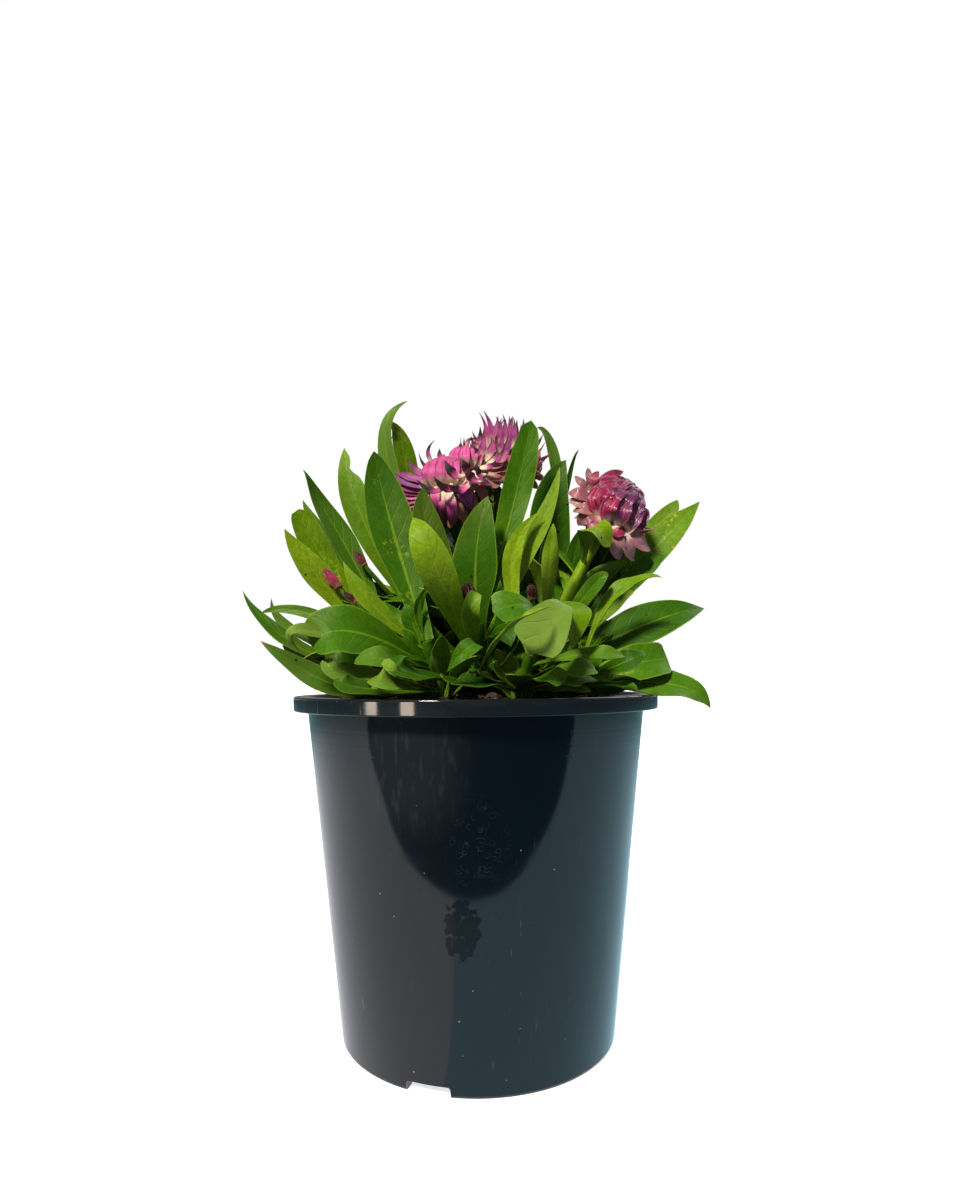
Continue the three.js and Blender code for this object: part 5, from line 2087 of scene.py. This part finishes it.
@dataclass
class Bloom:
    """A bloom: lobes on a core, with bracts placed by rule and bracts placed one by one."""

    name: str
    node: str
    lobes: tuple[Lobe, ...]
    finish: BractFinish
    masters: Masters
    studio: Studio = field(default_factory=Studio)
    rays: tuple[Ray, ...] = ()
    thickness: float = 0.42
    seed: int = 3

    def add_lobe(self, pieces: Pieces, lobe: Lobe, draw: Random) -> None:
        """Adds a lobe: its core, its rings of bracts and its hugging scales.

        Args:
            pieces: What gathers the copies.
            lobe: The lobe.
            draw: The random source.
        """
        self.add_core(pieces, lobe)
        for level, row in enumerate(lobe.rows):
            self.add_row(pieces, lobe, row, level, draw)
        for level, ring in enumerate(lobe.scales):
            self.add_scales(pieces, lobe, ring, level, draw)

    def add_core(self, pieces: Pieces, lobe: Lobe) -> None:
        """Adds a lobe's core.

        Args:
            pieces: What gathers the copies.
            lobe: The lobe.
        """
        ball = self.masters.get(BallForm())
        turn = Vector((0, 0, 1)).rotation_difference(Vector(lobe.axis).normalized()).to_matrix()
        points = (ball.points * np.array(lobe.core)) @ np.array(turn).T + np.array(lobe.centre)
        pieces.add(replace_flat(ball, 0.5, 0.1), points, Look(0.2, 0.3, 0, 0.5))

    def add_row(self, pieces: Pieces, lobe: Lobe, row: Row, level: int, draw: Random) -> None:
        """Adds a ring of bracts where the solids have theirs.

        Args:
            pieces: What gathers the copies.
            lobe: The lobe.
            row: The ring.
            level: The ring's number, which staggers it.
            draw: The random source.
        """
        for i in range(row.count):
            bearing = math.tau * (i + 0.5 * (level % 2) + draw.uniform(-0.15, 0.15)) / row.count
            sway = draw.uniform(-8, 8)
            length = row.length * draw.uniform(0.8, 1.1)
            if not row.all_round and lobe.polar(90, bearing)[1] < -0.35:
                continue
            root = np.array(lobe.centre) + 0.8 * lobe.polar(row.start, bearing, lobe.core)
            bend = root + length * 0.5 * lobe.polar(row.lean + sway, bearing)
            tip = bend + length * 0.55 * lobe.polar(row.lean + row.turn + sway, bearing)
            path = Path(root, (root + tip) * 0.25 + bend * 0.5, tip)
            face = lobe.polar(row.lean + row.turn / 2 - 90, bearing)
            self.add_bract(pieces, row.form, path, face, row.width, drawn_look(row.low, row.high, draw), draw)

    def add_bract(
        self, pieces: Pieces, form: Form, path: Path, face: Array, width: float, look: Look, draw: Random,
    ) -> None:
        """Adds one bent bract.

        Args:
            pieces: What gathers the copies.
            form: Which blade it is.
            path: The curve that it follows.
            face: The way that its upper face looks.
            width: Its width in millimetres.
            look: What its finish reads.
            draw: The random source.
        """
        flat = self.masters.get(form)
        bend = Bend(
            width, self.thickness, draw.uniform(0.1, 0.3), draw.uniform(0.1, 0.35), draw.uniform(1, 2.5),
            draw.random(), draw.uniform(-0.03, 0.05), draw.uniform(-14, 14),
        )
        points, under = bend.bent(flat, path, face)
        pieces.add(flat, points, look, under)

    def add_scales(self, pieces: Pieces, lobe: Lobe, ring: Shingles, level: int, draw: Random) -> None:
        """Adds a ring of scales that hug the core.

        Args:
            pieces: What gathers the copies.
            lobe: The lobe.
            ring: The ring.
            level: The ring's number, which staggers it.
            draw: The random source.
        """
        for i in range(ring.count):
            bearing = math.tau * (i + 0.5 * (level % 2) + draw.uniform(-0.15, 0.15)) / ring.count
            stand = ring.stand * draw.uniform(0.85, 1.15)
            angles = (ring.start, (ring.start + ring.end) / 2, ring.end + draw.uniform(-6, 6))
            out = (1.0, 1.0 + stand, 1.0 + stand * 0.8)
            places = [
                np.array(lobe.centre) + k * lobe.polar(angle, bearing, lobe.core)
                for angle, k in zip(angles, out)
            ]
            face = lobe.polar(angles[1], bearing)
            look = drawn_look(ring.low, ring.high, draw)
            self.add_bract(pieces, ring.form, Path(*places), face, ring.width, look, draw)

    def add_ray(self, pieces: Pieces, ray: Ray, draw: Random) -> None:
        """Adds a bract placed by where it shows."""
        path = Path(*(self.studio.point(*place) for place in (ray.root, ray.middle, ray.tip)))
        self.add_bract(pieces, ray.form, path, np.array([0.0, -1, 0.35]), ray.width, ray.look, draw)

    def build(self) -> Object:
        """Builds and dresses the bloom.

        Returns:
            The bloom.
        """
        draw = Random(self.seed)
        pieces = Pieces()
        for lobe in self.lobes:
            self.add_lobe(pieces, lobe, draw)
        for ray in self.rays:
            self.add_ray(pieces, ray, draw)
        return dress(pieces.build(self.name, self.finish.build(), 70), self.finish.name, self.node)


CRESTED_LOBES = (
    Lobe(
        (-10, 0, 216), (-0.2, -0.3, 0.93), (8.2, 7.5, 7.5),
        (
            Row(10, 96, 96, -30, 14, 3.2, Form.SPIKE, Look(0.2, 0, 0.1), Look(0.9, 0, 0.6), False),
            Row(11, 112, 125, 10, 13, 4, low=Look(0, 0, 0), high=Look(0.5, 0.5, 0.2), all_round=False),
            Row(10, 128, 148, 20, 12, 4, low=Look(0.2, 0.2, 0), high=Look(0.6, 0.9, 0.2)),
        ),
        (
            Shingles(11, 100, 46, 0.14, 5.2, Look(0), Look(0.2, 0, 0.2, 1)),
            Shingles(9, 76, 20, 0.12, 5.2, Look(0, 0, 0.1, 0), Look(0.3, 0, 0.3, 1)),
            Shingles(6, 50, 4, 0.1, 5, Look(0, 0, 0.2, 0), Look(0.3, 0, 0.4, 1)),
        ),
    ),
    Lobe(
        (2, 4, 221.5), (-0.25, -0.1, 0.95), (8, 6.5, 7),
        (
            Row(8, 40, 20, -40, 9, 2.6, Form.SPIKE, Look(0, 0, 0.6), Look(0.3, 0, 1)),
            Row(12, 92, 60, -60, 10, 3.2, Form.SPIKE, Look(0, 0, 0.4), Look(0.3, 0.2, 1), False),
            Row(12, 122, 120, 0, 11, 4, low=Look(0.1, 0.3, 0), high=Look(0.6, 0.9, 0.2), all_round=False),
        ),
        (
            Shingles(10, 100, 46, 0.14, 4.8, Look(0), Look(0.2, 0.2, 0.3, 1)),
            Shingles(8, 70, 14, 0.12, 4.8, Look(0, 0, 0.1, 0), Look(0.2, 0, 0.5, 1)),
        ),
    ),
    Lobe(
        (13, 8, 226), (0.15, 0.3, 0.93), (12, 8, 8),
        (
            Row(8, 22, 2, -14, 14, 2.6, Form.SPIKE, Look(0.3, 0, 0.6), Look(0.8, 0, 1)),
            Row(10, 48, 14, -28, 14, 3.2, Form.SPIKE, Look(0.3, 0, 0.6), Look(0.8, 0, 1)),
            Row(12, 74, 40, -40, 12, 3.4, Form.SPIKE, Look(0.2, 0, 0.5), Look(0.7, 0.2, 1)),
            Row(13, 96, 70, -34, 11, 3.4, Form.SPIKE, Look(0, 0.3, 0.4), Look(0.4, 0.8, 1)),
            Row(14, 122, 112, 0, 9, 4.4, low=Look(0, 0.5, 0), high=Look(0.3, 1, 0.3)),
        ),
        (
            Shingles(16, 140, 88, 0.2, 4.6, Look(0, 0.5, 0, 0), Look(0.2, 1, 0.1, 1)),
            Shingles(15, 112, 62, 0.16, 4.6, Look(0, 0.4, 0, 0), Look(0.2, 0.9, 0.3, 1)),
            Shingles(13, 84, 36, 0.16, 4.4, Look(0, 0.2, 0.2, 0), Look(0.3, 0.6, 0.6, 1)),
        ),
    ),
)

CRESTED_RAYS = (
    *rays(
        Form.SCALE,
        ((431, 487, -9), (427, 473, -12), (433, 461, -8), 4, 0.1, 0, 0, 0.1),
        ((436, 489, -11), (433, 472, -14), (438, 458, -8), 4.2, 0, 0, 0, 0.7),
        ((442, 489, -12), (440, 471, -15), (444, 456, -8), 4.2, 0.1, 0, 0, 0.3),
        ((448, 488, -12), (447, 470, -15), (450, 455, -7), 4.2, 0, 0, 0, 0.9),
        ((454, 486, -12), (454, 468, -14), (456, 455, -6), 4.2, 0.1, 0, 0.1, 0.5),
        ((460, 483, -11), (461, 468, -13), (460, 456, -6), 4, 0, 0, 0.2, 0.2),
        ((457, 469, -9), (455, 456, -12), (461, 448, -5), 4.4, 0, 0, 0, 0.6),
        ((464, 468, -9), (464, 455, -12), (466, 447, -4), 4.4, 0, 0, 0, 0.15),
        ((471, 466, -8), (472, 454, -11), (471, 447, -3), 4.4, 0.1, 0, 0.2, 0.8),
        ((476, 466, -8), (477, 457, -10), (475, 450, -3), 4, 0, 0, 0.3, 0.4),
    ),
    *rays(
        Form.CLAW,
        ((468, 476, -16), (450, 489, -21), (433.5, 477, -21), 3.2, 0, 0, 1, 0.2),
        ((452, 484, -16), (434, 491, -20), (417.5, 481.5, -18), 2.6, 0, 0, 1, 0.5),
        ((474, 478, -16), (461, 490, -20), (448, 484, -21), 3.6, 0, 0, 1, 0.7),
        ((464, 475, -16), (454, 474, -21), (444.5, 460.5, -20), 4, 0, 0, 1, 0.9),
        ((472, 475, -15), (467, 470, -19), (462.5, 459, -19), 3.4, 0, 0, 1, 0.4),
        ((482, 480, -15), (473, 479, -19), (465, 467.5, -19), 3.8, 0, 0, 1, 0.1),
        ((485, 474, -13), (480, 474, -17), (476, 464.5, -17), 3, 0, 0, 1, 0.3),
    ),
    *rays(
        Form.STRAP,
        ((434, 480, -9), (416, 479, -9), (394.5, 471.5, -5), 3.4, 0.8, 0, 0.3, 0.2),
        ((433, 484, -9), (414, 484, -9), (394, 477, -5), 3.6, 1, 0, 0.3, 0.7),
        ((432, 488, -9), (413, 489, -8), (396, 486, -5), 3.2, 0.8, 0, 0.4, 0.5),
        ((433, 476, -8), (420, 473, -8), (407, 461, -5), 2.8, 0.5, 0, 0.7, 0.9),
        ((431, 491, -8), (412, 493, -7), (397, 490, -4), 2.8, 0.3, 0.1, 0.1, 0.3),
        ((430, 494, -8), (412, 497, -7), (398, 496, -4), 2.8, 0.1, 0.1, 0, 0.6),
        ((430, 497, -8), (413, 501, -7), (401, 502, -4), 2.6, 0.5, 0.2, 0, 0.8),
        ((430, 500, -8), (415, 505, -7), (405, 507, -4), 2.6, 0.1, 0.3, 0, 0.1),
        ((432, 502, -8), (418, 508, -7), (410, 512, -4), 2.4, 0.4, 0.4, 0, 0.4),
        ((438, 487, -12), (435, 498, -15), (438, 510, -13), 3.6, 0, 0, 0, 0.6),
        ((443, 488, -12), (442, 508, -15), (447.5, 526, -12), 2.6, 0.4, 0, 0.9, 0.3),
        ((448, 488, -12), (452, 508, -16), (454.5, 524, -12), 4, 0.4, 0, 0.4, 0.9),
    ),
    *rays(
        Form.SCALE,
        ((457, 484, -12), (465, 495, -15), (472, 508, -12), 5, 1, 0, 0, 0.15),
    ),
    *rays(
        Form.STRAP,
        ((446, 492, -8), (451, 512, -10), (452, 527, -8), 3.4, 0.5, 0.5, 0.6, 0.2),
        ((454, 494, -7), (459, 510, -9), (464, 521, -7), 4, 0.3, 0.8, 0.3, 0.7),
    ),
    *rays(
        Form.SCALE,
        ((465, 478, -12), (468, 484, -14), (472, 490, -12), 4, 0.2, 0, 0.5, 0.4),
        ((470, 473, -11), (480, 480, -14), (491, 483, -11), 4.6, 0.15, 0.1, 0.2, 0.5),
    ),
    *rays(
        Form.STRAP,
        ((466, 486, -8), (472, 500, -9), (474, 513, -7), 4, 0.3, 0.8, 0.2, 0.2),
        ((474, 482, -8), (482, 492, -9), (486, 503, -7), 4, 0.2, 0.8, 0.2, 0.9),
        ((440, 490, -11), (437, 503, -13), (441, 515, -11), 2.4, 0.6, 0, 0.6, 0.8),
    ),
    *rays(
        Form.SPIKE,
        ((434, 470, -8), (424, 465, -9), (418.5, 452, -7), 1.7, 0.55, 0, 1, 0.5),
        ((434, 464, -8), (428, 452, -9), (435, 439.5, -7), 1.8, 0.55, 0, 1, 0.2),
        ((441, 459, -8), (439.5, 454, -9), (440, 448.5, -8), 2.2, 0.55, 0, 1, 0.7),
        ((461, 452, -6), (460.5, 447, -7), (461, 442, -6), 2.4, 0.55, 0, 1, 0.9),
        ((468, 448, -5), (469, 440, -6), (478, 439.5, -6), 1.8, 0.55, 0, 1, 0.1),
        ((473, 460, -9), (477, 452, -11), (471, 446, -10), 2.4, 0.55, 0, 1, 0.4),
        ((482, 448, -2), (486, 430, -4), (478.5, 411.5, -3), 2.2, 0.45, 0, 0.6, 0.2),
        ((487, 450, -3), (491, 430, -5), (483, 410.5, -3), 3.4, 0.55, 0, 0.6, 0.6),
        ((477, 450, -4), (480, 438, -5), (480, 426, -4), 2.8, 0.55, 0, 1, 0.8),
        ((492, 450, -2), (500, 434, -4), (495.5, 416.5, -2), 3, 0.55, 0, 0.7, 0.3),
        ((497, 449, -2), (505, 432, -4), (502.5, 414, -2), 3, 0.45, 0, 0.7, 0.9),
        ((502, 449, -2), (509, 433, -4), (508.5, 416, -2), 3, 0.55, 0, 0.6, 0.5),
        ((507, 450, -2), (514, 435, -4), (513.5, 417.5, -2), 3, 0.65, 0, 0.6, 0.1),
        ((512, 452, -2), (519, 439, -4), (521, 424, -2), 3, 0.85, 0, 0.5, 0.7),
        ((478, 459, -6), (483, 445, -9), (484, 430, -7), 3.2, 0.45, 0, 0.6, 0.2),
        ((484, 461, -7), (492, 447, -10), (490.5, 436, -9), 3.4, 0.35, 0, 0.6, 0.4),
        ((494, 458, -5), (501, 444, -8), (504, 430, -6), 3, 0.65, 0, 0.6, 0.6),
        ((500, 459, -5), (508, 447, -8), (512, 434, -6), 3, 0.85, 0, 0.5, 0.8),
        ((487, 464, -8), (499, 457, -11), (504, 446, -10), 2.6, 0.65, 0, 0.8, 0.2),
        ((480, 468, -10), (491, 466, -13), (496.5, 459, -12), 2.6, 0.45, 0, 1, 0.5),
    ),
    *rays(
        Form.STRAP,
        ((486, 463, -7), (496, 464, -9), (506, 460, -7), 4.4, 0.1, 0.6, 0.1, 0.3),
        ((490, 470, -7), (501, 468, -8), (511, 463, -6), 4.4, 0.1, 0.8, 0.1, 0.6),
        ((487, 476, -8), (498, 477, -9), (507, 474, -7), 4.4, 0.1, 0.8, 0.1, 0.9),
        ((495, 461, -6), (505, 458, -8), (513, 453, -6), 4, 0.2, 0.4, 0.1, 0.1),
        ((482, 480, -9), (492, 484, -10), (500, 484, -8), 4, 0.2, 0.8, 0.1, 0.4),
    ),
)

CLOSED_LOBES = (
    Lobe(
        (54.5, -8, 204.5), (0.62, -0.3, 0.72), (8.6, 8.6, 8.2),
        (
            Row(11, 104, 92, -40, 10, 3.6, low=Look(0.1, 0.2, 0), high=Look(0.8, 0.8, 0.3), all_round=False),
            Row(12, 118, 128, 0, 12, 4.6, low=Look(0.3, 0.2, 0), high=Look(0.9, 0.8, 0.3), all_round=False),
            Row(9, 134, 150, 15, 11, 4.6, low=Look(0.3, 0.4, 0), high=Look(0.9, 0.9, 0.3)),
        ),
        (
            Shingles(11, 102, 44, 0.16, 5.6, Look(0), Look(0.5, 0.1, 0.1, 1)),
            Shingles(10, 76, 20, 0.15, 5.2, Look(0.2, 0, 0, 0), Look(0.8, 0.1, 0.4, 1)),
            Shingles(8, 52, 6, 0.14, 4.8, Look(0.4, 0, 0.1, 0), Look(1, 0.1, 0.6, 1)),
            Shingles(5, 30, -6, 0.12, 4.4, Look(0.5, 0, 0.2, 0), Look(1, 0.1, 0.8, 1)),
        ),
    ),
)

CLOSED_RAYS = (
    *rays(
        Form.SCALE,
        ((610, 523, -17), (608, 509, -21), (619, 497, -19), 6, 0, 0, 0, 0.3),
        ((602, 515, -16), (594, 501, -19), (600, 489, -16), 5.4, 0, 0, 0, 0.8),
        ((606, 512, -16), (604, 498, -20), (612, 488, -16), 5.4, 0.1, 0, 0, 0.6),
        ((619, 527, -16), (623, 513, -20), (630, 499, -17), 5.4, 0.6, 0, 0.1, 0.5),
        ((626, 531, -15), (634, 519, -18), (642, 505, -14), 5.4, 0.8, 0, 0.1, 0.2),
        ((632, 533, -13), (642, 521, -15), (645, 507, -12), 4.4, 0.9, 0, 0.3, 0.9),
        ((597, 493, -12), (603, 484, -14), (621, 482, -11), 4.4, 0.2, 0, 0.4, 0.7),
        ((601, 499, -15), (607, 489, -18), (624, 487, -15), 4.6, 0.3, 0, 0.2, 0.1),
        ((612, 507, -17), (616, 496, -20), (628, 489, -16), 4.8, 0.7, 0, 0.4, 0.4),
        ((622, 509, -17), (629, 499, -19), (635, 490, -14), 4.8, 0.9, 0, 0.6, 0.6),
        ((631, 515, -15), (638, 506, -17), (641, 496, -12), 4.8, 1, 0, 0.5, 0.3),
    ),
    *rays(
        Form.STRAP,
        ((597, 487, -9), (608, 477, -10), (623.5, 472, -8), 3.8, 0.2, 0, 0.5, 0.2),
        ((589, 489, -11), (583, 484, -13), (575, 476.5, -11), 3.2, 0.6, 0.4, 0.6, 0.2),
        ((591, 490, -11), (589, 478, -12), (588, 468, -10), 2.6, 0.7, 0.3, 0.7, 0.7),
        ((594, 491, -12), (593.5, 480, -14), (599, 471, -12), 3.4, 0.1, 0.1, 0.4, 0.5),
        ((592, 501, -15), (580, 494, -18), (569, 493, -15), 4.8, 0.3, 0.4, 0, 0.9),
        ((592, 507, -15), (581, 503, -18), (570, 499.5, -15), 4.6, 0.1, 0.8, 0.1, 0.4),
        ((596, 512, -16), (584, 509, -19), (573, 510, -16), 5, 0.2, 0.6, 0.4, 0.1),
        ((599, 516, -16), (587, 517, -19), (578, 525, -17), 5.6, 0.2, 0.3, 0.7, 0.6),
        ((602, 517, -17), (592, 523, -20), (586, 529, -18), 5.6, 0.1, 0.4, 0.2, 0.3),
        ((605, 520, -17), (602, 530, -20), (608, 538, -18), 5.8, 0.3, 0.1, 0.3, 0.7),
        ((612, 526, -17), (617, 532, -19), (625, 532, -18), 4.6, 0.1, 0, 0.4, 0.5),
        ((615, 530, -16), (617, 545, -19), (620, 559, -15), 6, 0.8, 0.55, 0.2, 0.2),
        ((622, 532, -15), (628, 547, -18), (633, 561, -14), 5.2, 0.9, 0.5, 0.1, 0.8),
        ((628, 532, -14), (639, 541, -16), (649, 551, -12), 6, 0.8, 0.45, 0.2, 0.4),
        ((609, 528, -16), (610, 542, -18), (612, 553, -15), 3.4, 0.4, 0.2, 0.9, 0.9),
    ),
    *rays(
        Form.SPIKE,
        ((636, 530, -12), (646, 532, -14), (657, 527, -12), 1.5, 0.1, 0, 0.2, 0.3),
    ),
    *rays(
        Form.STRAP,
        ((634, 527, -13), (639, 529, -14), (645, 528, -12), 2.4, 0.8, 0.1, 0.4, 0.6),
    ),
)


@dataclass(frozen=True)
class Bud:
    """A bud: the stem and the place on it that its stalk leaves, its base, axis and size."""

    name: str
    stem: str
    up: float
    base: Triple
    axis: Triple
    length: float
    width: float
    low: Look = Look(0.1, 0.1, 0.3)
    high: Look = Look(0.6, 0.4, 0.9)

    def build(self, masters: Masters, material: Material) -> Object:
        """Builds and dresses the bud: a slim core in rings of tight scales.

        Args:
            masters: The flat masters.
            material: Its finish.

        Returns:
            The bud.
        """
        axis = unit(np.array(self.axis, float))
        centre = tuple(np.array(self.base) + axis * self.length * 0.46)
        core = (0.3 * self.width, 0.3 * self.width, 0.42 * self.length)
        rings = (
            Shingles(5, 150, 120, 0.5, self.width * 0.5, Look(0, 0.6), Look(0.2, 1)),
            Shingles(5, 165, 14, 0.3, self.width * 0.62, self.low, self.high, Form.STRAP),
            Shingles(5, 150, 2, 0.16, self.width * 0.56, self.low, self.high, Form.STRAP),
        )
        lobe = Lobe(centre, tuple(axis), core, (), rings)
        bloom = Bloom(self.name, self.name, (lobe,), BUD, masters, thickness=0.3)
        pieces = Pieces()
        bloom.add_lobe(pieces, lobe, Random(len(self.name) + len(self.stem)))
        return dress(pieces.build(f"{self.name}_scales", material, 70), "bud", self.name)


BUDS = (
    Bud("bud_pink", "far_left", 0.9, (-48.8, -24, 172.4), (-0.62, 0, 0.79), 9, 3.6,
        Look(0, 0, 0), Look(0.3, 0.1, 0.6)),
    Bud("bud_slim", "far_left", 0.6, (-42, -27, 166.8), (-0.77, 0, 0.63), 6, 2.2, Look(0.8, 0, 0.8), Look(1, 0.1, 1)),
    Bud("bud_magenta", "left", 0.9, (-41, -13, 182), (-0.6, 0, 0.8), 6.5, 2.8,
        Look(0.5, 0.2, 0.5), Look(0.9, 0.3, 1)),
    Bud("bud_maroon", "centre", 0.75, (-2.5, -34, 161.5), (-0.05, 0, 1), 11.5, 7.6,
        Look(0.9, 0, 0.6), Look(1, 0.1, 1)),
    # bud_dark is all darkest purple: painted shade, as it lies in shadow
    Bud("bud_dark", "tall_right", 0.35, (21, -20, 168), (-0.1, 0, 1), 6, 3.6, Look(1, 0, 1), Look(1, 0.1, 1)),
    Bud("bud_side", "tall_right", 0.4, (40, -21, 166), (0.6, 0, 0.8), 9, 3.2, Look(0.9, 0, 0.8), Look(1, 0.2, 1)),
)


def main() -> None:
    """Builds the plant in its pot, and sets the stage."""
    logging.basicConfig(level=logging.INFO, format="%(message)s")
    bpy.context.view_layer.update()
    studio, masters, draws = Studio(), Masters(), Draws(SOLIDS_SEED)
    studio.build()
    pot = Pot()
    made = [pot.build(), PottingMix(pot).build()]
    draws.skip(CHIP_DRAWS + BRACT_DRAWS)
    for bloom in (
        Bloom("crested_bloom", "bloom_crested", CRESTED_LOBES, CRESTED, masters, studio, CRESTED_RAYS),
        Bloom("closed_bloom", "bloom_closed", CLOSED_LOBES, CLOSED, masters, studio, CLOSED_RAYS),
    ):
        made.append(bloom.build())
    scales = BUD.build()
    made += [bud.build(masters, scales) for bud in BUDS]
    made += Foliage(masters, draws).build()
    for piece in made:
        LOG.info("%s: %d faces", piece.name, len(piece.data.polygons))


if __name__ == "__main__":
    main()
